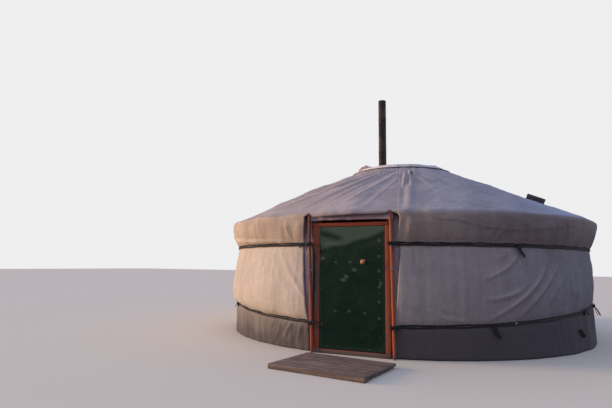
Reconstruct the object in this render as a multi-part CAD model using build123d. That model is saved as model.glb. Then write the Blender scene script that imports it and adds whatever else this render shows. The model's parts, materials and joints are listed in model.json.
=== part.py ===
from build123d import *
import math
import os

# A yurt: a round tent house of felt and canvas over a wooden lattice, with a cone roof on
# poles, a crown wheel with a stove pipe, and a low door in a frame.
# All sizes are in millimetres. The origin is the middle of the floor, on the ground, +Z is
# up and the door looks along -Y. A bearing is an angle in degrees round the upright axis. It
# is 0 at the door and grows towards +X, the right-hand side seen from outside.

# Layers
canvas_thickness = 6.0
felt_thickness = 30.0
layer_gap = 0.3

# Wall
wall_radius = 2756.3
wall_belly = 58.0
wall_foot_flare = 14.0
wall_tuck = 12.0
wall_canvas_top = 1600.0
wall_felt_top = 1606.0
wall_facets = 36
felt_strip_facets = 2
door_bearing_left = -13.4
door_bearing_right = 11.7
door_facets = 4

# Straps round the wall
strap_width = 40.0
strap_thickness = 4.0
upper_strap_height = 1290.0
lower_strap_height = 347.0
lower_strap_rise = 230.0
strap_tail_width = 28.0
strap_tail_gap = 0.9
strap_tail_length = 150.0
upper_tail_bearing = 43.3
lower_tail_bearing = 34.6
strap_loop_gap = 1.5
strap_loop_sides = 12

# Roof
roof_slope = 0.445
roof_crown_gap = 13.0
shoulder_overhang = 33.7
shoulder_height = 1694.0
eave_overhang = 113.7
eave_height = 1650.0
eave_turn_inset = 15.0
eave_turn_rise = 3.0
skirt_upper_inset = 35.0
skirt_upper_drop = 150.0
skirt_lower_inset = 78.0
skirt_lower_drop = 278.0
skirt_hem_drop = 8.0
door_hem_inset = 5.0
door_hem_rise = 6.0

# Roof poles
pole_depth = 45.0
pole_width = 45.0
pole_crown_depth = 36.0
pole_crown_width = 34.0
pole_overhang = 8.7
pole_socket_depth = 30.0
door_pole_count = 3

# Lattice
lattice_nodes = 6
node_sections = 3
section_cells = 2
section_gap = 0.8
lattice_levels = 5
lath_thickness = 14.0
lath_upright_size = 48.0
lath_tip = 0.08

# Crown
crown_outer_radius = 735.0
crown_rim_width = 80.0
crown_height = 130.0
crown_rise = 26.5
spoke_width = 28.0
spoke_depth = 42.0
spoke_pairs = 4
hub_radius = 95.0
hub_drop = 16.0
dome_rise = 105.0
crown_post_size = 90.0
crown_post_neck = 62.0
crown_bracket_length = 320.0
crown_bracket_depth = 55.0

# Crown cover
cover_thickness = 14.0
cover_slack = 4.5
cover_bearing_first = 4.0
cover_bearing_last = 246.0
cover_facets = 16
roll_radius = 42.0
roll_bearing_first = -74.0
roll_bearing_last = -36.0
roll_sides = 8
roll_stations = 5

# Stove pipe
pipe_x = -211.0
pipe_y = -450.0
pipe_radius = 62.5
pipe_bore = 60.0
pipe_length = 1465.0
pipe_drop = 140.0
pipe_gap = 0.3
plate_thickness = 3.0
plate_inner_radius = 350.0
plate_bearing_first = -48.0
plate_bearing_last = -2.0
collar_width = 20.0
collar_height = 45.0

# Door
leaf_half_width = 400.0
leaf_bottom = 60.0
leaf_top = 1493.0
leaf_thickness = 38.0
leaf_boards = 5
groove_width = 4.0
groove_depth = 3.0
ledge_thickness = 20.0
ledge_height = 110.0
ledge_inset = 42.0
ledge_from_end = 220.0
sheet_thickness = 2.0
door_gap = 5.0
frame_proud = 11.7
leaf_setback = 8.0
frame_depth = 123.0
jamb_left_outer = 486.0
jamb_right_outer = 464.0
lintel_left = 500.0
lintel_right = 448.0
lintel_height = 44.0
lintel_depth = 58.0
lintel_proud = 2.0
stop_width = 17.0
stop_drop = 20.0
sill_height = 50.0
head_height = 60.0
head_depth = 46.0

# Hinges and knob
hinge_heights = (330.0, 1230.0)
hinge_length = 96.0
hinge_pin_radius = 4.0
hinge_barrel_radius = 8.0
hinge_rod_sides = 12
hinge_knuckle_gap = 1.0
hinge_bore_gap = 0.3
hinge_plate_width = 42.0
hinge_plate_thickness = 2.0
knob_x = 152.0
knob_height = 1075.0
knob_radius = 28.0
rose_radius = 25.0
rose_thickness = 4.0
knob_neck_radius = 10.0
knob_neck_length = 22.0
knob_bands = 6

# Door posts
post_radius = 17.0
post_top = 1658.0
post_left_foot_x = -485.5
post_left_head_x = -538.5
post_right_foot_x = 509.0
post_right_head_x = 477.0
post_notch = 4.0

# Valance of cloth over the door
valance_bottom = 1574.0
valance_thickness = 5.0
valance_clearance = 8.0
valance_inset = 0.6

# Block that lies on the roof
block_length = 230.0
block_width = 110.0
block_height = 80.0
block_radius = 2165.0
block_facet = 6

# Step in front of the door
step_length = 1066.0
step_depth = 748.0
step_x = 42.5
step_space = 364.0
step_turn = -8.4
step_height = 50.0
slat_thickness = 25.0
slat_count = 7
slat_space = 18.0
bearer_width = 60.0

# Worked out from the sizes above
shoulder_radius = wall_radius + shoulder_overhang
crown_inner_radius = crown_outer_radius - crown_rim_width
eave_radius = wall_radius + eave_overhang
pole_outer_radius = wall_radius + pole_overhang
roof_inner_radius = crown_outer_radius + roof_crown_gap
crown_top = shoulder_height + (shoulder_radius - crown_outer_radius) * roof_slope + crown_rise
crown_bottom = crown_top - crown_height
pipe_bottom = crown_bottom - pipe_drop
pipe_top = pipe_bottom + pipe_length
frame_front = wall_radius + frame_proud
leaf_front = frame_front - leaf_setback
step_y = -(frame_front + step_space + step_depth / 2)
wall_turn = 360.0 + door_bearing_left - door_bearing_right
wall_bearings = [door_bearing_right + i * wall_turn / wall_facets for i in range(wall_facets + 1)]
door_turn = door_bearing_right - door_bearing_left
door_bearings = [door_bearing_left + i * door_turn / door_facets for i in range(door_facets + 1)]
slope_stretch = math.hypot(1.0, roof_slope)
felt_outer_radius = wall_radius - canvas_thickness - layer_gap
felt_inner_radius = felt_outer_radius - felt_thickness
facet_shrink = math.cos(math.radians(wall_turn / wall_facets / 2))
pole_felt_gap = layer_gap + pole_outer_radius * (1.0 / facet_shrink - 1.0) * roof_slope
lattice_radius = felt_inner_radius * facet_shrink - layer_gap
lath_middle_radius = lattice_radius - lath_thickness
lattice_inner_radius = lattice_radius - 2 * lath_thickness
lattice_sections = lattice_nodes * node_sections
frame_back = frame_front - frame_depth
lintel_bottom = leaf_top + door_gap
lintel_top = lintel_bottom + lintel_height
hinge_x = -leaf_half_width - door_gap / 2
hinge_y = -(frame_front + hinge_barrel_radius)
post_y = -(frame_front + layer_gap + strap_thickness + strap_loop_gap + post_radius)
plate_height = crown_top - spoke_depth - plate_thickness - layer_gap
felt_right = math.degrees(math.asin((jamb_right_outer + layer_gap) / felt_inner_radius))
felt_left = -math.degrees(math.asin((jamb_left_outer + layer_gap) / felt_inner_radius))


def at(radius, height, bearing, aside=0.0):
    """The point at a radius, height and bearing, moved aside to the right seen from outside."""
    turn = math.radians(bearing)
    return Vector(
        radius * math.sin(turn) + aside * math.cos(turn),
        -radius * math.cos(turn) + aside * math.sin(turn),
        height,
    )


def cone_height(radius):
    """Height of the roof canvas's outer face at a radius."""
    return shoulder_height + (shoulder_radius - radius) * roof_slope


def pole_top(radius):
    """Height of a roof pole's upper face at a radius, under canvas and felt."""
    layers = (canvas_thickness + felt_thickness) * slope_stretch
    return cone_height(radius) - layers - layer_gap - pole_felt_gap


def pole_bottom(radius):
    """Height of a roof pole's lower face at a radius near the wall."""
    return pole_top(radius) - pole_depth * slope_stretch


def box_between(x0, x1, y0, y1, z0, z1):
    """Box between two corners."""
    size = (abs(x1 - x0), abs(y1 - y0), abs(z1 - z0))
    return Pos((x0 + x1) / 2, (y0 + y1) / 2, (z0 + z1) / 2) * Box(*size)


def flat_faces(a, b, c, d):
    """The four-cornered face, or two triangles where its corners don't lie in one plane."""
    normal = (b - a).cross(c - a).normalized()
    if abs(normal.dot(d - a)) < 1e-6:
        return [Face(Wire.make_polygon([a, b, c, d]))]
    return [Face(Wire.make_polygon([a, b, c])), Face(Wire.make_polygon([a, c, d]))]


def skin(rings):
    """Closed solid through rings that have the same number of corners."""
    faces = [Face(Wire.make_polygon(rings[0])), Face(Wire.make_polygon(rings[-1]))]
    for one, two in zip(rings, rings[1:]):
        for i in range(len(one)):
            j = (i + 1) % len(one)
            faces += flat_faces(one[i], one[j], two[j], two[i])
    return Solid(Shell(faces))


def offset_line(line, distance):
    """Line of (radius, height) points moved inwards, mitred, with its start cut upright on a slope."""
    normals = []
    for (r0, z0), (r1, z1) in zip(line, line[1:]):
        length = math.hypot(r1 - r0, z1 - z0)
        normals.append(((z1 - z0) / length, -(r1 - r0) / length))
    moved = []
    for i, (radius, height) in enumerate(line):
        first = normals[max(i - 1, 0)]
        second = normals[min(i, len(normals) - 1)]
        share = distance / (1.0 + first[0] * second[0] + first[1] * second[1])
        moved.append((radius + (first[0] + second[0]) * share, height + (first[1] + second[1]) * share))
    if normals[0][1] < -0.5:
        moved[0] = (line[0][0], line[0][1] + distance / normals[0][1])
    return moved


def sheet_ring(line, thickness, bearing):
    """Cross-section at a bearing of a sheet whose outer face follows the line."""
    outline = line + offset_line(line, thickness)[::-1]
    return [at(radius, height, bearing) for radius, height in outline]


def lower_strap_at(bearing):
    """Height of the lower strap, which climbs from the door towards both sides."""
    share = min(1.0, 1.0 - math.cos(math.radians(bearing)))
    return lower_strap_height + lower_strap_rise * share


def roof_line():
    """Outer face of the roof canvas from the crown to the hem under the upper strap."""
    hem = upper_strap_height - strap_width / 2 - skirt_hem_drop
    tied = wall_radius + layer_gap + canvas_thickness
    eave = eave_roof_line()
    sag = [
        (eave_radius - skirt_upper_inset, eave_height - skirt_upper_drop),
        (eave_radius - skirt_lower_inset, eave_height - skirt_lower_drop),
    ]
    return eave + sag + [(tied, upper_strap_height + strap_width / 2), (tied, hem)]


def eave_roof_line():
    """Outer face of the roof from the crown to the widest place of the eave."""
    turn = (eave_radius - eave_turn_inset, (shoulder_height + eave_height) / 2 + eave_turn_rise)
    crown = (roof_inner_radius, cone_height(roof_inner_radius))
    return [crown, (shoulder_radius, shoulder_height), turn, (eave_radius, eave_height)]


def door_roof_line():
    """Outer face of the roof over the door, where the hem is turned up at the eave."""
    return eave_roof_line()[:3] + [(eave_radius - door_hem_inset, eave_height + door_hem_rise)]


def roof_felt_line(line):
    """Outer face of the roof felt, under the canvas and down to the eave."""
    return offset_line(line, canvas_thickness + layer_gap)[:4]


def wall_canvas_line(bearing):
    """Outer face of the wall canvas from its top to the ground, tied in at both straps."""
    low = lower_strap_at(bearing)
    high = upper_strap_height - strap_width / 2 - skirt_hem_drop
    span = high - low
    half_strap = strap_width / 2
    return [
        (wall_radius, wall_canvas_top),
        (wall_radius, high - wall_tuck),
        (wall_radius + 0.8 * wall_belly, low + 0.7 * span),
        (wall_radius + wall_belly, low + 0.42 * span),
        (wall_radius, low + half_strap),
        (wall_radius, low - half_strap),
        (wall_radius + wall_foot_flare, 0.0),
    ]


def wall_canvas(first, last):
    """Wall canvas between two of the wall's bearings."""
    bearings = wall_bearings[first:last + 1]
    return skin([sheet_ring(wall_canvas_line(b), canvas_thickness, b) for b in bearings])


def wall_felt(first, last):
    """Strips of wall felt, the end ones carried on to the door frame."""
    line = [(felt_outer_radius, wall_felt_top), (felt_outer_radius, 0.0)]
    groups = strip_groups(wall_bearings[first:last + 1])
    if first == 0:
        groups[0].insert(0, felt_right)
    if last == wall_facets:
        groups[-1].append(360.0 + felt_left)
    return felt_strips(groups, line)


def strip_groups(bearings):
    """The bearings of each strip of felt, a few facets wide."""
    starts = range(0, len(bearings) - 1, felt_strip_facets)
    return [bearings[start:start + felt_strip_facets + 1] for start in starts]


def felt_strips(groups, line):
    """Strips of felt side by side, with a hair's gap between them."""
    slack = math.degrees(layer_gap / shoulder_radius)
    strips = []
    for stops in groups:
        edges = [stops[0] + slack] + stops[1:-1] + [stops[-1] - slack]
        strips.append(skin([sheet_ring(line, felt_thickness, b) for b in edges]))
    return strips


def roof_canvas(first, last):
    """Roof canvas with its skirt between two of the wall's bearings."""
    bearings = wall_bearings[first:last + 1]
    return skin([sheet_ring(roof_line(), canvas_thickness, b) for b in bearings])


def roof_canvas_front():
    """Roof canvas over the door, which ends in a hem at the eave, slit for the door posts."""
    canvas = skin([sheet_ring(door_roof_line(), canvas_thickness, b) for b in door_bearings])
    return canvas.cut(*post_notches())


def roof_felt_front():
    """Roof felt over the door, slit for the door posts."""
    return [strip.cut(*post_notches()) for strip in roof_felt(door_bearings, door_roof_line())]


def post_notches():
    """Room for the tops of the door posts in the edge of the roof."""
    reach = post_radius + post_notch
    notches = []
    for x in (post_left_head_x, post_right_head_x):
        front = post_y - 3 * reach
        notches.append(box_between(x - reach, x + reach, front, post_y + reach, upper_strap_height, 2 * post_top))
    return notches


def roof_felt(bearings, line):
    """Strips of roof felt from the crown to the eave."""
    return felt_strips(strip_groups(bearings), roof_felt_line(line))


def lattice_bearing(step):
    """Bearing of a column of crossings, counted in half cells from the right of the door."""
    right = math.degrees(math.asin((jamb_right_outer + layer_gap) / lattice_inner_radius))
    left = math.degrees(math.asin((jamb_left_outer + layer_gap) / lattice_inner_radius))
    return right + step * (360.0 - right - left) / (2 * section_cells * lattice_sections)


def lattice_top():
    """Height of the lath tips, which carry the roof poles midway between two folds."""
    half_cell = math.radians(lattice_bearing(1) - lattice_bearing(0))
    return pole_bottom(lattice_radius * math.cos(half_cell)) - layer_gap


def lattice_point(step, height, radius):
    """Point on the flat wall face between two columns two steps apart."""
    first = 2 * math.floor(step / 2)
    share = (step - first) / 2
    start = at(radius, height, lattice_bearing(first))
    if share == 0:
        return start
    return start + (at(radius, height, lattice_bearing(first + 2)) - start) * share


def lath(foot, direction, inner, outer):
    """One lath of the first section, from its foot column up to the right or the left."""
    half = lath_upright_size / 2
    level = (lattice_top() - lath_upright_size) / (lattice_levels + 2 * lath_tip)
    edge = section_gap / 2 / (lattice_point(1, 0.0, outer) - lattice_point(0, 0.0, outer)).length
    ends = sorted((foot - direction * lath_tip, foot + direction * (lattice_levels + lath_tip)))
    first = max(ends[0], edge)
    last = min(ends[1], 2 * section_cells - edge)
    folds = [step for step in range(0, 2 * section_cells + 1, 2) if first < step < last]
    rings = []
    for step in [first] + folds + [last]:
        height = half + level * (direction * (step - foot) + lath_tip)
        corners = [(inner, -half), (outer, -half), (outer, half), (inner, half)]
        rings.append([lattice_point(step, height + rise, radius) for radius, rise in corners])
    return skin(rings)


def lattice_section():
    """The first section of lattice, its two layers of laths fused where they cross."""
    reach = 2 * section_cells
    laths = []
    for foot in range(1 - lattice_levels, reach, 2):
        laths.append(lath(foot, 1, lath_middle_radius, lattice_radius))
    for foot in range(1 + lattice_levels % 2, reach + lattice_levels, 2):
        laths.append(lath(foot, -1, lattice_inner_radius, lath_middle_radius))
    return laths[0].fuse(*laths[1:])


def pole_bearings():
    """Bearings of the roof poles: one on each lattice head, and a few over the door."""
    count = section_cells * lattice_sections
    heads = [lattice_bearing(2 * i + 1) for i in range(count)]
    gap = heads[0] + 360.0 - heads[-1]
    over_door = [heads[0] - gap * (i + 1) / (door_pole_count + 1) for i in range(door_pole_count)]
    return heads, over_door[::-1]


def pole(bearing, inner_radius, margin=0.0):
    """Roof pole that tapers towards the crown, or its socket with a margin all round."""
    rings = []
    for radius, width, depth in (
        (inner_radius, pole_crown_width, pole_crown_depth),
        (pole_outer_radius, pole_width, pole_depth),
    ):
        half = width / 2 + margin
        top = pole_top(radius) + margin
        bottom = pole_top(radius) - depth * slope_stretch - margin
        rings.append([
            at(radius, bottom, bearing, -half),
            at(radius, bottom, bearing, half),
            at(radius, top, bearing, half),
            at(radius, top, bearing, -half),
        ])
    return skin(rings)


def crown_ring(bearings):
    """Rim of the crown wheel, with a socket for each roof pole."""
    width = crown_outer_radius - crown_inner_radius
    height = crown_top - crown_bottom
    middle = Pos((crown_outer_radius + crown_inner_radius) / 2, (crown_top + crown_bottom) / 2)
    rim = revolve(Plane.XZ * middle * Rectangle(width, height), Axis.Z, 360)
    depth = crown_outer_radius - pole_socket_depth - layer_gap
    return rim.cut(*[pole(b, depth, layer_gap) for b in bearings])


def spoke_arch():
    """One arched spoke right across the crown, standing in the XZ plane."""
    foot = crown_inner_radius - layer_gap
    low = crown_top - spoke_depth
    top_line = ThreePointArc((-foot, crown_top), (0, crown_top + dome_rise), (foot, crown_top))
    low_line = ThreePointArc((foot, low), (0, low + dome_rise), (-foot, low))
    sides = [Line((foot, crown_top), (foot, low)), Line((-foot, low), (-foot, crown_top))]
    section = Plane.XZ * make_face([top_line, sides[0], low_line, sides[1]])
    return extrude(section, spoke_width / 2, both=True)


def crown_spokes():
    """Arched spokes of the crown wheel, crossed at a round hub."""
    arches = [Rot(0, 0, 180.0 / spoke_pairs * i) * spoke_arch() for i in range(spoke_pairs)]
    hub_height = spoke_depth + hub_drop
    hub_middle = crown_top + dome_rise - hub_height / 2
    hub = Pos(0, 0, hub_middle) * Cylinder(hub_radius, hub_height)
    return hub.fuse(*arches)


def crown_post(side):
    """Post that carries the crown, square with a waist and a bracket under the rim."""
    x = side * (crown_outer_radius + crown_inner_radius) / 2
    bracket_bottom = crown_bottom - layer_gap - crown_bracket_depth
    waist = 0.72 * bracket_bottom
    sizes = ((0.0, crown_post_size), (waist, crown_post_neck), (bracket_bottom, crown_post_neck))
    rings = []
    for height, size in sizes:
        half = size / 2
        corners = [(-half, -half), (half, -half), (half, half), (-half, half)]
        rings.append([Vector(x + dx, dy, height) for dx, dy in corners])
    half_length = crown_bracket_length / 2
    upright = Plane((x, 0, bracket_bottom), x_dir=(0, 1, 0), z_dir=(1, 0, 0))
    outline = Polyline(
        (-half_length, crown_bracket_depth),
        (half_length, crown_bracket_depth),
        (half_length, 0.55 * crown_bracket_depth),
        (0.4 * half_length, 0.0),
        (-0.4 * half_length, 0.0),
        (-half_length, 0.55 * crown_bracket_depth),
        close=True,
    )
    bracket = extrude(upright * make_face(outline), crown_post_neck / 2, both=True)
    return skin(rings).fuse(bracket)


def dome_line():
    """Outer face of the crown cover from the rim to the hub, resting on rim and spokes."""
    lift = layer_gap + cover_thickness
    foot = crown_inner_radius
    radius = (foot * foot + dome_rise * dome_rise) / (2 * dome_rise)
    line = [(crown_outer_radius, crown_top + lift), (foot + cover_thickness, crown_top + lift)]
    for share in (0.94, 0.7, 0.4, 0.1):
        r = share * foot
        drop = radius - math.sqrt(radius * radius - r * r)
        line.append((r, crown_top + dome_rise - drop + lift + cover_slack))
    return line[::-1]


def crown_cover():
    """Cloth over the right and the back of the crown."""
    step = (cover_bearing_last - cover_bearing_first) / cover_facets
    bearings = [cover_bearing_first + i * step for i in range(cover_facets + 1)]
    return skin([sheet_ring(dome_line(), cover_thickness, b) for b in bearings])


def crown_cover_roll():
    """Rolled edge of the crown cover, which lies on the rim left of the pipe."""
    radius = (crown_outer_radius + crown_inner_radius) / 2
    height = crown_top + layer_gap + roll_radius * math.cos(math.pi / roll_sides)
    turns = [2 * math.pi * (i + 0.5) / roll_sides for i in range(roll_sides)]
    outline = [(radius + roll_radius * math.cos(t), height + roll_radius * math.sin(t)) for t in turns]
    step = (roll_bearing_last - roll_bearing_first) / roll_stations
    bearings = [roll_bearing_first + i * step for i in range(roll_stations + 1)]
    return skin([[at(r, z, bearing) for r, z in outline] for bearing in bearings])


def chimney_pipe():
    """Stove pipe that stands in the open part of the crown."""
    height = pipe_top - pipe_bottom
    middle = Pos(pipe_x, pipe_y, (pipe_top + pipe_bottom) / 2)
    return middle * (Cylinder(pipe_radius, height) - Cylinder(pipe_bore, height))


def pipe_plate():
    """Sheet metal plate in the crown, with a collar that holds the pipe."""
    outer = crown_inner_radius - layer_gap
    turn = plate_bearing_last - plate_bearing_first
    section = Plane.XZ * Pos((outer + plate_inner_radius) / 2, plate_height + plate_thickness / 2)
    sector = revolve(section * Rectangle(outer - plate_inner_radius, plate_thickness), Axis.Z, turn)
    plate = Rot(0, 0, plate_bearing_first - 90.0) * sector
    inner = pipe_radius + pipe_gap
    place = Pos(pipe_x, pipe_y, plate_height + collar_height / 2)
    collar = place * Cylinder(inner + collar_width, collar_height)
    return plate.fuse(collar).cut(place * Cylinder(inner, 2 * collar_height))


def strap_loop(x, height):
    """Turn of strap round a door post."""
    inner = post_radius + strap_loop_gap
    outline = RegularPolygon(inner + strap_thickness, strap_loop_sides)
    band = outline - RegularPolygon(inner, strap_loop_sides)
    return Pos(x, post_y, height) * extrude(band, strap_width / 2, both=True)


def post_x(foot_x, head_x, height):
    """Place across the door of a leaning post's axis at a height."""
    return foot_x + (head_x - foot_x) * height / post_top


def strap_ring(radius, height, bearing):
    """Cross-section of a strap where it lies on the canvas."""
    half = strap_width / 2
    outer = radius + strap_thickness
    corners = [(radius, -half), (outer, -half), (outer, half), (radius, half)]
    return [at(r, height + rise, bearing) for r, rise in corners]


def on_facet(radius, bearing):
    """Distance from the axis of a wall facet at a bearing, for its corners at a radius."""
    step = wall_turn / wall_facets
    offset = (bearing - door_bearing_right) % step - step / 2
    return radius * facet_shrink / math.cos(math.radians(offset))


def canvas_radius(height, bearing):
    """Corner radius of the wall canvas's outer face at a height and bearing."""
    line = wall_canvas_line(bearing)
    for (r0, z0), (r1, z1) in zip(line, line[1:]):
        if z1 <= height <= z0:
            return r0 + (r1 - r0) * (z0 - height) / (z0 - z1)
    return wall_radius


def strap_tail(radius, height, bearing):
    """Loose end of a strap that hangs flat over the canvas below."""
    half = math.degrees(strap_tail_width / 2 / radius)
    line = [(radius + strap_thickness / 2, height)]
    for share in (0.14, 0.45, 1.0):
        z = height - share * strap_tail_length
        line.append((max(radius, canvas_radius(z, bearing) + strap_tail_gap), z))
    outline = line + [(r + strap_thickness, z) for r, z in line[::-1]]
    sides = (bearing - half, bearing + half)
    return skin([[at(on_facet(r, side), z, side) for r, z in outline] for side in sides])


def strap(radius, height_at, tail_bearing):
    """Strap from post to post round the wall, with a turn round each post."""
    rings = [strap_ring(radius, height_at(b), b) for b in wall_bearings]
    right = post_x(post_right_foot_x, post_right_head_x, height_at(0.0))
    left = post_x(post_left_foot_x, post_left_head_x, height_at(0.0))
    half = strap_width / 2
    reach = post_radius + strap_loop_gap
    ends = []
    for x, side in ((right, 1), (left, -1)):
        inner = x + side * reach
        outer = inner + side * strap_thickness
        corners = [(inner, -half), (outer, -half), (outer, half), (inner, half)]
        ends.append([Vector(cx, post_y - strap_thickness, height_at(0.0) + rise) for cx, rise in corners])
    band = skin([ends[0]] + rings + [ends[1]])
    loops = [strap_loop(x, height_at(0.0)) for x in (right, left)]
    tail = strap_tail(radius, height_at(tail_bearing), tail_bearing)
    return band.fuse(tail, *loops)


def upper_strap():
    """Upper strap, over the hem of the roof canvas."""
    radius = wall_radius + 2 * layer_gap + canvas_thickness
    return strap(radius, lambda bearing: upper_strap_height, upper_tail_bearing)


def lower_strap():
    """Lower strap, on the wall canvas."""
    return strap(wall_radius + layer_gap, lower_strap_at, lower_tail_bearing)


def jamb(side, outer):
    """Side of the door frame, rebated for the leaf and cut back for the lintel."""
    inner = leaf_half_width + door_gap
    front = box_between(side * inner, side * outer, -frame_front, -frame_back, sill_height, lintel_bottom)
    back_of_leaf = leaf_front - leaf_thickness
    stop = box_between(
        side * (inner - stop_width), side * inner,
        -(back_of_leaf - door_gap), -frame_back, sill_height, lintel_bottom,
    )
    horn = box_between(
        side * inner, side * outer, -(frame_back + head_depth), -frame_back, lintel_bottom, head_bottom(),
    )
    return front.fuse(stop, horn)


def head_bottom():
    """Height of the beam that carries the roof poles over the door."""
    steepest = math.radians(max(abs(bearing) for bearing in pole_bearings()[1]))
    front = frame_back + head_depth + pole_width / 2 * math.sin(steepest)
    return pole_bottom(front / math.cos(steepest)) - layer_gap - head_height


def door_head():
    """Beam on the jambs, behind the valance, that carries the roof poles over the door."""
    bottom = head_bottom()
    return box_between(
        -jamb_left_outer, jamb_right_outer,
        -(frame_back + head_depth), -frame_back, bottom, bottom + head_height,
    )


def door_lintel():
    """Top of the door frame, with the stop for the leaf."""
    behind = leaf_front - leaf_thickness - door_gap
    front = frame_front + lintel_proud
    beam = box_between(
        -lintel_left, lintel_right, -front, -(front - lintel_depth), lintel_bottom, lintel_top,
    )
    half = leaf_half_width + door_gap - stop_width
    stop = box_between(-half, half, -behind, -(behind - stop_width), lintel_bottom - stop_drop, lintel_bottom)
    return beam.fuse(stop)


def door_threshold():
    """Sill of the door frame, on the ground."""
    return box_between(-jamb_left_outer, jamb_right_outer, -frame_front, -frame_back, 0.0, sill_height)


def door_leaf():
    """Boarded leaf with two ledges across its back."""
    back = leaf_front - leaf_thickness
    leaf = box_between(-leaf_half_width, leaf_half_width, -leaf_front, -back, leaf_bottom, leaf_top)
    pitch = 2 * leaf_half_width / leaf_boards
    joints = [i * pitch - leaf_half_width for i in range(1, leaf_boards)]
    grooves = [
        box_between(
            x - groove_width / 2, x + groove_width / 2,
            -back - groove_depth, -back + groove_depth, leaf_bottom, leaf_top,
        )
        for x in joints
    ]
    half = leaf_half_width - ledge_inset
    ledges = [
        box_between(-half, half, -back, -back + ledge_thickness, z - ledge_height / 2, z + ledge_height / 2)
        for z in (leaf_bottom + ledge_from_end, leaf_top - ledge_from_end)
    ]
    return leaf.cut(*grooves).fuse(*ledges)


def door_sheet():
    """Sheet metal over the front of the leaf."""
    return box_between(
        -leaf_half_width, leaf_half_width,
        -leaf_front - sheet_thickness, -leaf_front, leaf_bottom, leaf_top,
    )


def door_knob():
    """Turned knob on a rose, its ball in narrow bands."""
    start = leaf_front + sheet_thickness
    first = math.asin(knob_neck_radius / knob_radius)
    middle = rose_thickness + knob_neck_length + knob_radius * math.cos(first)
    turns = [first + i * (math.pi - first) / knob_bands for i in range(knob_bands + 1)]
    ball = [(knob_radius * math.sin(t), middle - knob_radius * math.cos(t)) for t in turns[:-1]]
    outline = Polyline(
        (0, 0), (rose_radius, 0), (rose_radius, rose_thickness), (knob_neck_radius, rose_thickness),
        *ball, (0, middle + knob_radius), close=True,
    )
    knob = revolve(Plane.XZ * make_face(outline), Axis.Z, 360)
    return Pos(knob_x, -start, knob_height) * Rot(90, 0, 0) * knob


def hinge_rod(radius, height, length):
    """Upright rod on the hinge axis, such as a knuckle or the pin."""
    outline = RegularPolygon(radius, hinge_rod_sides)
    return Pos(hinge_x, hinge_y, height) * extrude(outline, length / 2, both=True)


def hinge_fixed(height):
    """Frame side of one hinge: plate, two knuckles and the pin."""
    third = hinge_length / 3
    knuckle = third - hinge_knuckle_gap
    knuckles = [hinge_rod(hinge_barrel_radius, height + side * third, knuckle) for side in (-1, 1)]
    pin = hinge_rod(hinge_pin_radius, height, 2 * third)
    plates = [
        box_between(
            hinge_x - hinge_plate_width, hinge_x,
            -frame_front, -frame_front - hinge_plate_thickness,
            height + side * third - knuckle / 2, height + side * third + knuckle / 2,
        )
        for side in (-1, 1)
    ]
    return pin.fuse(*knuckles, *plates)


def hinge_moving(height):
    """Leaf side of one hinge: plate and the middle knuckle."""
    length = hinge_length / 3 - hinge_knuckle_gap
    face = leaf_front + sheet_thickness
    plate = box_between(
        hinge_x + hinge_pin_radius, hinge_x + hinge_plate_width,
        -face, -face - hinge_plate_thickness, height - length / 2, height + length / 2,
    )
    web = box_between(
        hinge_x + hinge_pin_radius, hinge_x + hinge_barrel_radius,
        -face, hinge_y, height - length / 2, height + length / 2,
    )
    bore = hinge_rod(hinge_pin_radius + hinge_bore_gap, height, hinge_length)
    return hinge_rod(hinge_barrel_radius, height, length).fuse(plate, web).cut(bore)


def door_post(foot_x, head_x):
    """Round post beside the door, standing on the ground."""
    lean = math.degrees(math.atan2(head_x - foot_x, post_top))
    length = math.hypot(head_x - foot_x, post_top) + 4 * post_radius
    middle = Pos((foot_x + head_x) / 2, post_y, post_top / 2) * Rot(0, lean, 0)
    wide = 4 * post_radius + abs(head_x - foot_x)
    window = Pos((foot_x + head_x) / 2, post_y, post_top / 2) * Box(wide, wide, post_top)
    return (middle * Cylinder(post_radius, length)) & window


def door_valance():
    """Band of cloth that hangs over the door, in front of the pole ends and under the felt."""
    radius = pole_outer_radius + valance_clearance + valance_thickness
    top = pole_top(radius) + pole_felt_gap - 2 * layer_gap
    line = [(radius, top), (radius, valance_bottom)]
    step = (door_turn - 2 * valance_inset) / door_facets
    bearings = [door_bearing_left + valance_inset + i * step for i in range(door_facets + 1)]
    return skin([sheet_ring(line, valance_thickness, b) for b in bearings])


def roof_block():
    """Timber block that lies down the slope of the roof on one of its flat faces."""
    bearing = (wall_bearings[block_facet] + wall_bearings[block_facet + 1]) / 2
    lean = math.degrees(math.atan(roof_slope))
    foot = cone_height(block_radius / facet_shrink)
    block = Pos(0, 0, block_height / 2 + layer_gap) * Box(block_length, block_width, block_height)
    place = Rot(0, 0, bearing - 90.0) * Pos(block_radius, 0, foot) * Rot(0, lean, 0)
    return place * block


def step_place():
    """Place of the step in front of the door, turned a little."""
    return Pos(step_x, step_y, 0) * Rot(0, 0, step_turn)


def step_slats():
    """Slats of the step, with a front board down to the ground."""
    width = (step_depth - (slat_count - 1) * slat_space) / slat_count
    low = step_height - slat_thickness
    slats = []
    for i in range(slat_count):
        front = -step_depth / 2 + i * (width + slat_space)
        bottom = 0.0 if i == 0 else low
        slats.append(box_between(
            -step_length / 2, step_length / 2, front, front + width, bottom, step_height,
        ))
    return [step_place() * slat for slat in slats]


def step_bearers():
    """Bearers under the slats, behind the front board."""
    width = (step_depth - (slat_count - 1) * slat_space) / slat_count
    top = step_height - slat_thickness
    edge = step_length / 2 - bearer_width
    front = -step_depth / 2 + width
    return [
        step_place() * box_between(x - bearer_width / 2, x + bearer_width / 2, front, step_depth / 2, 0, top)
        for x in (-edge, 0.0, edge)
    ]


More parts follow.
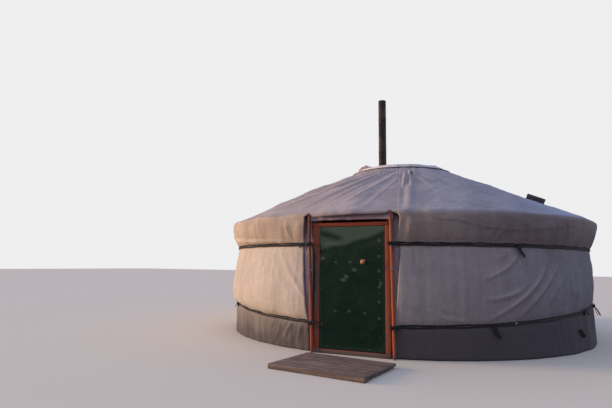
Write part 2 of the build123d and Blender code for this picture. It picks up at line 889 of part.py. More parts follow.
def parts():
    """Every piece of the yurt by its name, each a solid or a list of solids."""
    third = wall_facets // 3
    spans = {"right": (0, third), "back": (third, 2 * third), "left": (2 * third, wall_facets)}
    heads, over_door = pole_bearings()
    pieces = {
        "door_leaf": door_leaf(),
        "door_sheet": door_sheet(),
        "door_knob": door_knob(),
        "hinge_leaf_side": [hinge_moving(z) for z in hinge_heights],
        "hinge_frame_side": [hinge_fixed(z) for z in hinge_heights],
        "door_jamb_left": jamb(-1, jamb_left_outer),
        "door_jamb_right": jamb(1, jamb_right_outer),
        "door_lintel": door_lintel(),
        "door_threshold": door_threshold(),
        "door_head": door_head(),
        "door_valance": door_valance(),
        "door_post_left": door_post(post_left_foot_x, post_left_head_x),
        "door_post_right": door_post(post_right_foot_x, post_right_head_x),
        "crown_ring": crown_ring(heads + over_door),
        "crown_spokes": crown_spokes(),
        "crown_post_left": crown_post(-1),
        "crown_post_right": crown_post(1),
        "crown_cover": crown_cover(),
        "crown_cover_roll": crown_cover_roll(),
        "chimney_pipe": chimney_pipe(),
        "pipe_plate": pipe_plate(),
        "upper_strap": upper_strap(),
        "lower_strap": lower_strap(),
        "roof_block": roof_block(),
        "step_slats": step_slats(),
        "step_bearers": step_bearers(),
        "roof_canvas_front": roof_canvas_front(),
        "roof_felt_front": roof_felt_front(),
    }
    for name, (first, last) in spans.items():
        pieces["wall_canvas_" + name] = wall_canvas(first, last)
        pieces["wall_felt_" + name] = wall_felt(first, last)
        pieces["roof_canvas_" + name] = roof_canvas(first, last)
        pieces["roof_felt_" + name] = roof_felt(wall_bearings[first:last + 1], roof_line())
    section = lattice_section()
    turn = lattice_bearing(2 * section_cells) - lattice_bearing(0)
    for i in range(lattice_nodes):
        places = range(i * node_sections, (i + 1) * node_sections)
        pieces[f"lattice_wall_{i + 1}"] = [Rot(0, 0, turn * place) * section for place in places]
    crown_end = crown_outer_radius - pole_socket_depth
    half = len(heads) // 2
    groups = {"front": over_door, "right": heads[:half], "left": heads[half:]}
    for name, bearings in groups.items():
        pieces["roof_poles_" + name] = [pole(b, crown_end) for b in bearings]
    return pieces


os.makedirs("parts", exist_ok=True)
for name, piece in parts().items():
    shape = Compound(children=piece) if isinstance(piece, list) else piece
    export_step(shape, f"parts/{name}.step")
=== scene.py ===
"""The looks of a felt and canvas yurt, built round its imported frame."""

import json
import logging
import math
from contextlib import contextmanager
from dataclasses import dataclass
from enum import Enum
from functools import cache, partial
from typing import Callable, Iterator, Sequence

import bpy
import numpy as np
from mathutils import Matrix, Vector

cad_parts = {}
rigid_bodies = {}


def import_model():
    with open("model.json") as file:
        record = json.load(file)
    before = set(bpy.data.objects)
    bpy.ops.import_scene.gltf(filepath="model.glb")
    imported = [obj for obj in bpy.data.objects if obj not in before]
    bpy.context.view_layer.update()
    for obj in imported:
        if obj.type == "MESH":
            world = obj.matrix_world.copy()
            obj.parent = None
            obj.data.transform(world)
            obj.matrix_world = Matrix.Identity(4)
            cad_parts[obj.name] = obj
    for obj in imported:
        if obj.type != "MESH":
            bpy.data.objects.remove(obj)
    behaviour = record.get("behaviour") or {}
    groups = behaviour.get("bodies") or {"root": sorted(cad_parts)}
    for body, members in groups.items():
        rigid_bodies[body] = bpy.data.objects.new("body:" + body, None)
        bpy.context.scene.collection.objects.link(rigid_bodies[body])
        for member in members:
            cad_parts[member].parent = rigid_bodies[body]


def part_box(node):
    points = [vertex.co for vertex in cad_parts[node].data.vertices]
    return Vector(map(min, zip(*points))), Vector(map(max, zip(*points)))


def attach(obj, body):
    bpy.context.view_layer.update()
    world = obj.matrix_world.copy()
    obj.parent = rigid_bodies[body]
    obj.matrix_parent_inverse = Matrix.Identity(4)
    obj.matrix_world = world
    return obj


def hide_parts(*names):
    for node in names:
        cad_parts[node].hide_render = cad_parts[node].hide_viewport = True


Triple = tuple[float, float, float]
Colour = Triple
Pair = tuple[float, float]
Array = np.ndarray
RadiusAt = Callable[[Array], Array]
FoldRow = tuple[Pair, Pair, Pair, float, float]
Node = bpy.types.Node
NodeTree = bpy.types.NodeTree
Socket = bpy.types.NodeSocket
Piece = bpy.types.Object
Material = bpy.types.Material

log = logging.getLogger("yurt")
FULL_TURN = 2 * math.pi
SEAMS: Pair = (-125.0, 123.3)


class Body(Enum):
    """The bodies of the frame that pieces ride on."""

    YURT = "yurt"
    DOOR = "door"


class Axis(Enum):
    """The direction that wood grain runs in."""

    X = 0
    Y = 1
    Z = 2


# Shader node groups and materials


class Tree:
    """A node tree that is written one node at a time."""

    def __init__(self, tree: NodeTree) -> None:
        """Keep the tree."""
        self.tree = tree

    def add(self, kind: str, **settings: object) -> Node:
        """Add a node and set its own properties.

        Args:
            kind: The node's type name without its ShaderNode prefix.
            settings: Properties of the node by name.

        Returns:
            The new node.
        """
        node = self.tree.nodes.new("ShaderNode" + kind)
        for name, value in settings.items():
            setattr(node, name, value)
        return node

    def put(self, value: object, socket: Socket) -> None:
        """Link a socket to an input, or give the input a number or colour.

        Args:
            value: The socket, number or colour.
            socket: The input.
        """
        if isinstance(value, Socket):
            self.tree.links.new(value, socket)
        else:
            socket.default_value = (*value, 1.0) if socket.type == "RGBA" else value

    def feed(self, node: Node, **inputs: object) -> Node:
        """Put values into a node's inputs by their names, with _ for a space.

        Args:
            node: The node.
            inputs: A socket to link, or a value to set.

        Returns:
            The same node.
        """
        for name, value in inputs.items():
            self.put(value, node.inputs[name.replace("_", " ")])
        return node

    def split(self, place: Socket) -> Sequence[Socket]:
        """The X, Y and Z of a vector."""
        return self.feed(self.add("SeparateXYZ"), Vector=place).outputs

    def math(self, operation: str, first: object, second: object = 0.0) -> Socket:
        """Work out a number.

        Args:
            operation: The Math node's operation.
            first: A socket or a number.
            second: A socket or a number.

        Returns:
            The result.
        """
        node = self.add("Math", operation=operation)
        self.put(first, node.inputs[0])
        self.put(second, node.inputs[1])
        return node.outputs[0]

    def times(self, first: object, second: object) -> Socket:
        """The product of two numbers."""
        return self.math("MULTIPLY", first, second)

    def plus(self, first: object, second: object) -> Socket:
        """The sum of two numbers."""
        return self.math("ADD", first, second)

    def scaled(self, place: Socket, scale: Sequence[float], turn: Sequence[float] = (0.0, 0.0, 0.0)) -> Socket:
        """Coordinates scaled along each axis and turned in radians."""
        mapping = self.add("Mapping", vector_type="POINT")
        return self.feed(mapping, Vector=place, Scale=scale, Rotation=turn).outputs[0]

    def noise(self, place: Socket, scale: float | Triple, detail: float = 3.0, rough: float = 0.55) -> Socket:
        """A noise value at a place.

        Args:
            place: The coordinates.
            scale: Lumps in a metre, in all directions or along X, Y and Z.
            detail: How many finer layers are added.
            rough: How strong the finer layers are.

        Returns:
            The noise, about 0.2 to 0.8.
        """
        if not isinstance(scale, float):
            place, scale = self.scaled(place, scale), 1.0
        node = self.add("TexNoise", noise_dimensions="3D")
        return self.feed(node, Vector=place, Scale=scale, Detail=detail, Roughness=rough).outputs[0]

    def stretch(self, value: Socket, low: float, high: float, start: float = 0.0, end: float = 1.0) -> Socket:
        """Spread the stretch of a value from low to high over start to end, clamped."""
        node = self.add("MapRange", interpolation_type="SMOOTHSTEP")
        return self.feed(node, Value=value, From_Min=low, From_Max=high, To_Min=start, To_Max=end).outputs[0]

    def mix(self, share: object, first: object, second: object, blend: str = "MIX") -> Socket:
        """Mix two colours.

        Args:
            share: How much of the second colour there is.
            first: A colour or a colour socket.
            second: A colour or a colour socket.
            blend: The Mix node's blend type.

        Returns:
            The mixed colour.
        """
        node = self.add("Mix", data_type="RGBA", blend_type=blend)
        for value, place in ((share, 0), (first, 6), (second, 7)):
            self.put(value, node.inputs[place])
        return node.outputs[2]

    def bump(self, strength: float, distance: float, height: Socket, **normal: Socket) -> Socket:
        """The normal of a bump, over another Normal where one is given."""
        node = self.feed(self.add("Bump"), Strength=strength, Distance=distance, Height=height, **normal)
        return node.outputs[0]

    def group(self, tree: NodeTree, **inputs: object) -> Sequence[Socket]:
        """Place a node group, set its inputs and give its outputs."""
        return self.feed(self.add("Group", node_tree=tree), **inputs).outputs


def new_group(name: str, numbers: Sequence[str], results: Sequence[str]) -> tuple[Tree, Sequence[Socket], Node]:
    """Start a shader node group that takes a place.

    Args:
        name: The group's name.
        numbers: Names of its other inputs.
        results: Names of its outputs.

    Returns:
        The tree, the inputs as sockets inside it, and its output node.
    """
    group = bpy.data.node_groups.new(name, "ShaderNodeTree")
    sockets = [("Place", "INPUT", "Vector")] + [(socket, "INPUT", "Float") for socket in numbers]
    for socket, way, kind in sockets + [(socket, "OUTPUT", "Float") for socket in results]:
        group.interface.new_socket(socket, in_out=way, socket_type="NodeSocket" + kind)
    entry = group.nodes.new("NodeGroupInput").outputs
    return Tree(group), entry, group.nodes.new("NodeGroupOutput")


@cache
def weave_group() -> NodeTree:
    """Height of a plain weave on UV in metres, with thicker and thinner threads.

    Returns:
        The group.
    """
    tree, entry, result = new_group("weave", ("Threads",), ("Height", "Tint"))
    waves = []
    for side in tree.split(entry["Place"])[:2]:
        waves.append(tree.math("ABSOLUTE", tree.math("SINE", tree.times(side, entry["Threads"]))))
    slubs = tree.noise(entry["Place"], (180.0, 14.0, 1.0), 2.0)
    tree.feed(result, Height=tree.plus(tree.math("MAXIMUM", *waves), tree.times(slubs, 1.2)), Tint=slubs)
    return tree.tree


@cache
def stains_group() -> NodeTree:
    """Masks of weather stains: broad clouds, runs of rain and fine specks.

    Returns:
        The group.
    """
    tree, entry, result = new_group("stains", (), ("Clouds", "Runs", "Specks"))
    place = entry["Place"]
    clouds = tree.stretch(tree.noise(place, 1.7, 5.0, 0.62), 0.38, 0.68)
    runs = tree.stretch(tree.noise(place, (9.0, 9.0, 0.9), 4.0, 0.6), 0.45, 0.72)
    specks = tree.stretch(tree.noise(place, 55.0, 3.0, 0.7), 0.6, 0.78)
    tree.feed(result, Clouds=clouds, Runs=runs, Specks=specks)
    return tree.tree


@cache
def grain_group() -> NodeTree:
    """Mask and height of wood grain along the drawn-out axis of the place.

    Returns:
        The group.
    """
    tree, entry, result = new_group("grain", ("Scale",), ("Streaks", "Height"))
    drawn = tree.add("VectorMath", operation="SCALE")
    tree.put(entry["Place"], drawn.inputs[0])
    tree.feed(drawn, Scale=entry["Scale"])
    wide = tree.noise(drawn.outputs[0], 1.0, 4.0, 0.6)
    fine = tree.noise(drawn.outputs[0], 5.0, 3.0, 0.7)
    streaks = tree.plus(tree.times(wide, 0.6), tree.times(fine, 0.4))
    tree.feed(result, Streaks=tree.stretch(streaks, 0.35, 0.66), Height=fine)
    return tree.tree


@cache
def chips_group() -> NodeTree:
    """Mask of worn and chipped places in paint, more where the wear is high.

    Returns:
        The group.
    """
    tree, entry, result = new_group("chips", ("Wear",), ("Mask",))
    place = entry["Place"]
    raised = tree.plus(tree.noise(place, 26.0, 6.0, 0.7), tree.times(tree.noise(place, 4.0, 2.0), 0.6))
    level = tree.plus(raised, tree.times(entry["Wear"], 0.4))
    tree.feed(result, Mask=tree.stretch(level, 0.98, 1.06))
    return tree.tree


class Finish:
    """A finish that becomes a material at its first use."""

    name: str

    def lay(self, tree: Tree, shader: Node) -> None:
        """Write the finish's nodes."""
        raise NotImplementedError


@cache
def material_of(finish: Finish) -> Material:
    """The material of a finish.

    Args:
        finish: The finish.

    Returns:
        The material, with one principled shader.
    """
    material = bpy.data.materials.new(finish.name)
    material.use_nodes = True
    finish.lay(Tree(material.node_tree), material.node_tree.nodes["Principled BSDF"])
    return material


@dataclass(frozen=True)
class CanvasFinish(Finish):
    """Weathered canvas: light and warm on one side of the yurt, greyer on the other, partly real fading and
    partly painted light and shade, with stains and dust.
    """

    name: str
    bleached_and_lit: Colour
    grey: Colour
    dirt: Colour
    dust: Colour = (0.30, 0.22, 0.17)
    turn_from: float = -0.9
    turn_to: float = 1.1
    threads: float = 900.0
    stain: float = 0.55
    bump: float = 0.25
    skirt: Colour | None = None
    skirt_top: float = 1.662
    skirt_painted_shade: Colour = (0.33, 0.33, 0.37)
    far: Colour | None = None
    streak: float = 0.0

    def lay(self, tree: Tree, shader: Node) -> None:
        """Lay the canvas, which reads the cloth's UV map and its attribute of grime and painted light.

        Args:
            tree: The material's tree.
            shader: Its principled shader.
        """
        coords = tree.add("TexCoord").outputs
        place = coords["Object"]
        x, y, z = tree.split(place)
        # Painted light and shade, partly real fading: the colour turns from warm and light on the sunlit left to
        # greyer and bluer on the shaded right; far adds a further painted shade round the back.
        side = tree.plus(x, tree.math("SUBTRACT", tree.times(tree.noise(place, 0.8, 4.0), 1.4), 0.7))
        turned = tree.stretch(side, self.turn_from, self.turn_to)
        colour = tree.mix(turned, self.bleached_and_lit, self.grey)
        if self.far is not None:
            colour = tree.mix(tree.stretch(side, 1.4, 2.9), colour, self.far)
        if self.streak:
            drawn = tree.noise(place, (11.0, 11.0, 0.35), 3.0, 0.6)
            colour = tree.mix(tree.stretch(drawn, 0.50, 0.72, 0.0, self.streak), colour, self.bleached_and_lit)
            colour = tree.mix(tree.stretch(drawn, 0.46, 0.28, 0.0, self.streak), colour, self.dirt)
        # The skirt is painted a warmer tan where it faces the low sun, turning to a darker painted shade on the
        # shaded side.
        if self.skirt is not None:
            edge = tree.plus(z, tree.times(tree.noise(place, 5.0, 2.0), 0.05))
            below = tree.stretch(edge, self.skirt_top + 0.028, self.skirt_top + 0.018)
            middle = tree.math("ABSOLUTE", tree.plus(x, 0.02))
            door = tree.times(tree.stretch(middle, 0.60, 0.56), tree.stretch(y, -2.0, -2.4))
            share = tree.times(below, tree.math("SUBTRACT", 1.0, door))
            colour = tree.mix(share, colour, tree.mix(turned, self.skirt, self.skirt_painted_shade))
        stains = tree.group(stains_group(), Place=place)
        colour = tree.mix(tree.times(stains["Clouds"], self.stain), colour, self.dirt)
        colour = tree.mix(tree.times(stains["Runs"], 0.35 * self.stain), colour, self.dust)
        # The attribute holds grime and painted light: below 0 it mixes in the lighter colour as a painted
        # highlight on fold crests, above 0 it darkens with grime and with painted shade in hollows and creases.
        tone_marks = tree.add("Attribute", attribute_name="dirt").outputs["Fac"]
        colour = tree.mix(tree.stretch(tone_marks, 0.0, -1.0, 0.0, 0.6), colour, self.bleached_and_lit)
        colour = tree.mix(tone_marks, colour, self.dirt)
        weave = tree.group(weave_group(), Place=coords["UV"], Threads=self.threads)
        shade = tree.stretch(weave["Tint"], 0.3, 0.7, 0.90, 1.06)
        threads = tree.feed(tree.add("CombineColor"), Red=shade, Green=shade, Blue=shade)
        colour = tree.mix(1.0, colour, threads.outputs[0], "MULTIPLY")
        colour = tree.mix(tree.times(stains["Specks"], 0.35), colour, self.dirt)
        creases = tree.noise(place, (5.0, 5.0, 9.0), 5.0, 0.62)
        normal = tree.bump(0.55, 0.022, creases, Normal=tree.bump(self.bump, 0.0012, weave["Height"]))
        rough = tree.stretch(stains["Clouds"], 0.0, 1.0, 0.86, 0.97)
        tree.feed(shader, Base_Color=colour, Roughness=rough, Normal=normal)
        tree.feed(shader, Specular_IOR_Level=0.18, Sheen_Weight=0.12, Sheen_Roughness=0.6)


@dataclass(frozen=True)
class FeltFinish(Finish):
    """Pressed wool felt, matted and uneven."""

    name: str
    wool: Colour
    shadow: Colour
    lumps: float = 35.0

    def lay(self, tree: Tree, shader: Node) -> None:
        """Lay the felt.

        Args:
            tree: The material's tree.
            shader: Its principled shader.
        """
        place = tree.add("TexCoord").outputs["Object"]
        lumps = tree.noise(place, self.lumps, 6.0, 0.7)
        broad = tree.stretch(tree.noise(place, 2.2, 3.0), 0.4, 0.75, 0.0, 0.6)
        colour = tree.mix(tree.stretch(lumps, 0.35, 0.65), self.wool, self.shadow)
        tree.feed(shader, Base_Color=tree.mix(broad, colour, self.shadow), Normal=tree.bump(0.7, 0.006, lumps))
        rough = tree.stretch(lumps, 0.3, 0.7, 0.88, 1.0)
        tree.feed(shader, Roughness=rough, Specular_IOR_Level=0.1, Sheen_Weight=0.3)


@dataclass(frozen=True)
class WoodFinish(Finish):
    """Bare or painted wood with grain along one axis, chipped where it is painted."""

    name: str
    axis: Axis
    body: Colour
    grain: Colour
    paint: Colour | None = None
    wear: float = 0.2
    rough: float = 0.62
    scale: float = 38.0
    long_share: float = 0.035
    bump: float = 0.5
    turn: float = 0.0
    upper: Colour | None = None
    upper_from: float = 1.0
    upper_blend: float = 0.3
    dust: Colour = (0.15, 0.115, 0.095)

    def lay(self, tree: Tree, shader: Node) -> None:
        """Lay the wood and, where it has some, its paint with a second colour above and dust below.

        Args:
            tree: The material's tree.
            shader: Its principled shader.
        """
        place = tree.add("TexCoord").outputs["Object"]
        height = tree.split(place)[2]
        place = tree.scaled(place, (1.0, 1.0, 1.0), (0.0, 0.0, self.turn))
        along = [1.0, 1.0, 1.0]
        along[self.axis.value] = self.long_share
        grain = tree.group(grain_group(), Place=tree.scaled(place, along), Scale=self.scale)
        streaks, ridges = grain["Streaks"], grain["Height"]
        colour = tree.mix(streaks, self.body, self.grain)
        blotches = tree.noise(place, 5.0, 4.0, 0.6)
        if self.paint is None:
            colour = tree.mix(tree.stretch(blotches, 0.42, 0.72, 0.0, 0.7), colour, self.grain)
        else:
            chips = tree.group(chips_group(), Place=place, Wear=self.wear)["Mask"]
            paint = self.paint
            if self.upper is not None:
                high = tree.plus(height, tree.times(blotches, self.upper_blend))
                above = tree.stretch(high, self.upper_from, self.upper_from + self.upper_blend)
                paint = tree.mix(above, self.paint, self.upper)
            faded = tree.mix(tree.stretch(blotches, 0.35, 0.7, 0.0, 0.35), paint, self.body)
            worn = tree.mix(tree.times(streaks, 0.28), faded, self.grain)
            splashed = tree.math("SUBTRACT", height, tree.times(blotches, 0.12))
            colour = tree.mix(chips, worn, colour)
            colour = tree.mix(tree.stretch(splashed, 0.06, -0.05, 0.0, 0.7), colour, self.dust)
            ridges = tree.math("SUBTRACT", tree.times(ridges, 0.5), chips)
        rough = tree.stretch(streaks, 0.0, 1.0, self.rough, min(1.0, self.rough + 0.18))
        normal = tree.bump(self.bump, 0.0025, ridges)
        tree.feed(shader, Base_Color=colour, Roughness=rough, Normal=normal, Specular_IOR_Level=0.35)


@dataclass(frozen=True)
class MetalFinish(Finish):
    """Sheet metal or steel with soot, rust or dull patches."""

    name: str
    bright: Colour
    dull: Colour
    rust: Colour
    rust_level: float = 0.62
    metallic: float = 0.6
    rough: Pair = (0.45, 0.75)
    bump: float = 0.35

    def lay(self, tree: Tree, shader: Node) -> None:
        """Lay the metal with its rust.

        Args:
            tree: The material's tree.
            shader: Its principled shader.
        """
        place = tree.add("TexCoord").outputs["Object"]
        clouds = tree.noise(place, 7.0, 6.0, 0.65)
        runs = tree.noise(place, (30.0, 30.0, 2.0), 4.0, 0.6)
        rusty = tree.stretch(tree.math("MAXIMUM", clouds, runs), self.rust_level, self.rust_level + 0.09)
        colour = tree.mix(rusty, tree.mix(tree.stretch(clouds, 0.35, 0.65), self.bright, self.dull), self.rust)
        pits = tree.plus(tree.times(tree.noise(place, 120.0, 4.0, 0.7), 0.4), rusty)
        tree.feed(shader, Base_Color=colour, Roughness=tree.stretch(clouds, 0.3, 0.7, *self.rough))
        tree.feed(shader, Metallic=tree.stretch(rusty, 0.0, 1.0, self.metallic, 0.05))
        tree.feed(shader, Normal=tree.bump(self.bump, 0.0012, pits))


@dataclass(frozen=True)
class DoorPaintFinish(Finish):
    """Old gloss paint on sheet metal, with faint scratches, worn places, and painted light: a painted reflection
    of the sky and painted glints on the nails.
    """

    name: str = "door_green_paint"
    paint: Colour = (0.004, 0.020, 0.010)
    faded: Colour = (0.010, 0.034, 0.020)
    scuff_and_reflection: Colour = (0.125, 0.200, 0.152)

    def lay(self, tree: Tree, shader: Node) -> None:
        """Lay the paint, which reads the sheet's attribute of wear and painted light.

        Args:
            tree: The material's tree.
            shader: Its principled shader.
        """
        place = tree.add("TexCoord").outputs["Object"]
        clouds = tree.noise(place, 3.2, 5.0, 0.6)
        scratches = tree.noise(tree.scaled(place, (14.0, 14.0, 90.0), (0.0, 0.5, 0.0)), 1.0, 2.0)
        colour = tree.mix(tree.stretch(clouds, 0.40, 0.72), self.paint, self.faded)
        colour = tree.mix(tree.stretch(scratches, 0.70, 0.76, 0.0, 0.35), colour, self.scuff_and_reflection)
        # the attribute lightens the paint for wear, for the painted reflection of the sky and for the painted
        # glints on the nails
        colour = tree.mix(tree.add("Attribute", attribute_name="dirt").outputs["Fac"], colour, self.scuff_and_reflection)
        fine = tree.bump(0.3, 0.0008, tree.noise(place, 90.0, 4.0))
        normal = tree.bump(0.5, 0.012, tree.noise(place, 5.0, 2.0), Normal=fine)
        rough = tree.stretch(clouds, 0.3, 0.7, 0.26, 0.42)
        tree.feed(shader, Base_Color=colour, Roughness=rough, Normal=normal, Specular_IOR_Level=0.13)


@dataclass(frozen=True)
class StrapFinish(Finish):
    """Woven webbing, ribbed along its length, paler in dusty patches."""

    name: str
    dark: Colour
    light: Colour
    ribs: float = 2400.0

    def lay(self, tree: Tree, shader: Node) -> None:
        """Lay the webbing, which reads the strap's UV map.

        Args:
            tree: The material's tree.
            shader: Its principled shader.
        """
        coords = tree.add("TexCoord").outputs
        ribs = tree.math("SINE", tree.times(tree.split(coords["UV"])[0], self.ribs))
        dust = tree.noise(coords["Object"], 16.0, 5.0, 0.7)
        colour = tree.mix(tree.stretch(dust, 0.42, 0.75), self.dark, self.light)
        tree.feed(shader, Base_Color=colour, Roughness=tree.stretch(dust, 0.3, 0.7, 0.75, 0.95))
        tree.feed(shader, Normal=tree.bump(0.5, 0.001, ribs), Specular_IOR_Level=0.25, Sheen_Weight=0.15)


# Cloth, made as grids of points


def smooth_step(value: Array, low: float, high: float) -> Array:
    """0 below low, 1 above high and a smooth rise between."""
    share = np.clip((value - low) / (high - low), 0.0, 1.0)
    return share * share * (3.0 - 2.0 * share)


def bump_at(value: Array, middle: float, width: float) -> Array:
    """A soft hump of height 1 round a middle."""
    return np.exp(-((value - middle) / width) ** 2)


def unit(vectors: Array) -> Array:
    """Vectors of length 1 in the same directions."""
    return vectors / (np.linalg.norm(vectors, axis=-1, keepdims=True) + 1e-12)


def run_length(points: Array) -> Array:
    """The distance along a line up to each of its points."""
    return np.concatenate(([0.0], np.cumsum(np.linalg.norm(np.diff(points, axis=0), axis=1))))


def at(radius: Array, height: Array, bearing: Array) -> Array:
    """Points at radii, heights and bearings in degrees."""
    turn = np.radians(bearing)
    return np.stack(np.broadcast_arrays(radius * np.sin(turn), -radius * np.cos(turn), height), -1)


@dataclass(frozen=True)
class Fold:
    """A fold along a bent line, given by bearings in degrees and heights or distances down the cloth."""

    start: Pair
    bend: Pair
    end: Pair
    rise: float
    width: float
    groove: float = 0.45

    def lift(self, across: Array, down: Array, radius_at: RadiusAt) -> Array:
        """How far the fold lifts each point of the cloth.

        Args:
            across: The points' bearings in degrees.
            down: The points' heights, or distances down the cloth, in metres.
            radius_at: Gives the cloth's radius at such a height or distance.

        Returns:
            The lift in metres.
        """
        steps = np.linspace(0.0, 1.0, 110)
        shares = ((1 - steps) ** 2, 2 * steps * (1 - steps), steps ** 2)
        line = np.zeros((len(steps), 2))
        for share, (bearing, place) in zip(shares, (self.start, self.bend, self.end)):
            across_line = math.radians(bearing) * float(radius_at(np.array(place)))
            line += share[:, None] * np.array((across_line, place))
        lift = np.zeros(across.shape)
        x, y = np.radians(across) * radius_at(down), down
        reach = 4.0 * self.width
        low, high = line.min(0) - reach, line.max(0) + reach
        near = (x > low[0]) & (x < high[0]) & (y > low[1]) & (y < high[1])
        if not near.any():
            return lift
        points = np.stack((x[near], y[near]), 1)
        gaps = points[:, None, :] - line[None, :, :]
        nearest = (gaps ** 2).sum(2).argmin(1)
        gap = gaps[np.arange(len(points)), nearest]
        way = unit(np.gradient(line, axis=0))[nearest]
        side = (way[:, 0] * gap[:, 1] - way[:, 1] * gap[:, 0]) / self.width
        beyond = np.abs((gap * way).sum(1)) / self.width
        fade = np.sin(np.pi * np.clip(steps[nearest], 0.03, 0.97)) ** 0.6 * np.exp(-beyond ** 2)
        lift[near] = self.rise * fade * (bump_at(side, 0.0, 1.0) - self.groove * bump_at(side, 1.7, 1.1))
        return lift


def creased(folds: Sequence[FoldRow], bearing: Array, place: Array, radius_at: RadiusAt) -> Array:
    """How far all the folds lift a cloth, in metres."""
    return sum((Fold(*fold).lift(bearing, place, radius_at) for fold in folds), np.zeros(bearing.shape))


def away_from_seams(bearing: Array) -> Array:
    """0 at the two seams at the back of the covers and 1 away from them."""
    turn = (bearing + 180.0) % 360.0 - 180.0
    return smooth_step(np.minimum(*(np.abs(turn - seam) for seam in SEAMS)), 0.4, 7.0)


def drawn_to(bearing: Array, height: Array, edge: float, top: Pair, low: Pair) -> Array:
    """How far a cloth is drawn round near a bearing, so that its edge slants.

    Args:
        bearing: The points' bearings in degrees.
        height: Their heights in metres.
        edge: The edge's bearing before.
        top: Bearing and height at the slanting edge's upper end.
        low: Bearing and height at its lower end.

    Returns:
        The turn in degrees.
    """
    reach = 5.0
    share = np.clip((height - low[1]) / (top[1] - low[1]), -0.3, 1.4)
    return (low[0] + share * (top[0] - low[0]) - edge) * bump_at(bearing, edge, reach)


def ripples(across: Array, down: Array, seed: int, lengths: Pair, lean: float, spread: float) -> Array:
    """Gentle uneven waves over a cloth, from about -1 to 1.

    Args:
        across: Places across the cloth in metres.
        down: Places down the cloth in metres.
        seed: Chooses the waves.
        lengths: The shortest and longest wave in metres.
        lean: The direction in which the waves follow each other, in degrees from across.
        spread: How far the direction varies, in degrees.

    Returns:
        The height of the waves.
    """
    count = 14
    random = np.random.default_rng(seed)
    total = np.zeros(across.shape)
    for _ in range(count):
        length = lengths[0] * (lengths[1] / lengths[0]) ** random.random()
        turn = math.radians(lean + spread * random.normal())
        along = across * math.cos(turn) + down * math.sin(turn)
        phase = random.uniform(0.0, FULL_TURN)
        total += np.sin(FULL_TURN * along / length + phase) * (length / lengths[1]) ** 0.5
    return total / math.sqrt(count)


def pleats(across: Array, seed: int, spacing: float, sharp: float) -> Array:
    """Uneven pleats side by side, from 0 in the hollows to 1 on the folds.

    Args:
        across: Places across the cloth in metres.
        seed: Chooses how uneven they are.
        spacing: The mean distance between two pleats in metres.
        sharp: How narrow the folds are.

    Returns:
        The height of the pleats.
    """
    random = np.random.default_rng(seed)
    moved = across.copy()
    for length in (1.3, 0.61, 0.29):
        moved = moved + 0.16 * length * np.sin(FULL_TURN * across / length + random.uniform(0, 6.3))
    return np.abs(np.cos(math.pi * moved / spacing)) ** sharp


def curve_through(points: Sequence[Pair], step: float) -> tuple[Array, Array]:
    """A smooth line through a few points.

    Args:
        points: The line's (radius, height) points.
        step: The distance between two results.

    Returns:
        Evenly spaced points, and the outward normals at them.
    """
    given = np.array(points, float)
    padded = np.vstack((2 * given[0] - given[1], given, 2 * given[-1] - given[-2]))
    dense = []
    for p0, p1, p2, p3 in zip(padded, padded[1:], padded[2:], padded[3:]):
        pull = np.linalg.norm(p2 - p1)
        first, second = pull * unit(p2 - p0), pull * unit(p3 - p1)
        for t in np.linspace(0.0, 1.0, 24, endpoint=False):
            dense.append(
                (2 * t ** 3 - 3 * t ** 2 + 1) * p1 + (t ** 3 - 2 * t ** 2 + t) * first
                + (3 * t ** 2 - 2 * t ** 3) * p2 + (t ** 3 - t ** 2) * second
            )
    line = np.array(dense + [given[-1]])
    lengths = run_length(line)
    places = np.linspace(0.0, lengths[-1], int(round(lengths[-1] / step)) + 1)
    even = np.stack([np.interp(places, lengths, line[:, k]) for k in (0, 1)], 1)
    ways = unit(np.gradient(even, axis=0))
    return even, np.stack((-ways[:, 1], ways[:, 0]), 1)


def deselect() -> None:
    """Leave edit mode and select nothing."""
    if bpy.context.object is not None and bpy.context.object.mode != "OBJECT":
        bpy.ops.object.mode_set(mode="OBJECT")
    bpy.ops.object.select_all(action="DESELECT")


def pick(*pieces: Piece) -> None:
    """Select only these pieces and make the first the active one."""
    deselect()
    for piece in pieces:
        piece.select_set(True)
    bpy.context.view_layer.objects.active = pieces[0]


@contextmanager
def editing(piece: Piece) -> Iterator[None]:
    """Edit mode on a piece, with all of it selected.

    Args:
        piece: The piece.

    Yields:
        Nothing, while the piece is in edit mode.
    """
    pick(piece)
    bpy.ops.object.mode_set(mode="EDIT")
    bpy.ops.mesh.select_all(action="SELECT")
    yield
    bpy.ops.object.mode_set(mode="OBJECT")


def modify(piece: Piece, kind: str, **settings: object) -> Piece:
    """Add a modifier to a piece and apply it.

    Args:
        piece: The piece.
        kind: The modifier's type.
        settings: Its properties by name.

    Returns:
        The same piece.
    """
    pick(piece)
    modifier = piece.modifiers.new(kind.lower(), kind)
    for name, value in settings.items():
        setattr(modifier, name, value)
    bpy.ops.object.modifier_apply(modifier=modifier.name)
    return piece


def bevelled(piece: Piece, width: float, angle: float) -> Piece:
    """Round a piece's edges that are sharper than an angle in degrees."""
    limit = {"limit_method": "ANGLE", "angle_limit": math.radians(angle)}
    return modify(piece, "BEVEL", width=width, segments=2, **limit)


def shade_smooth(piece: Piece, angle: float) -> Piece:
    """Shade a piece smooth up to an angle in degrees.

    Args:
        piece: The piece.
        angle: The angle.

    Returns:
        The same piece.
    """
    pick(piece)
    bpy.ops.object.shade_smooth_by_angle(angle=math.radians(angle))
    return piece


def coat(piece: Piece, finish: Finish) -> Piece:
    """Give a piece a finish and report it.

    Args:
        piece: The piece, or a CAD node that stays in view.
        finish: Its finish.

    Returns:
        The same piece.
    """
    piece.data.materials.clear()
    piece.data.materials.append(material_of(finish))
    log.info("%s: %d faces", piece.name, len(piece.data.polygons))
    return piece


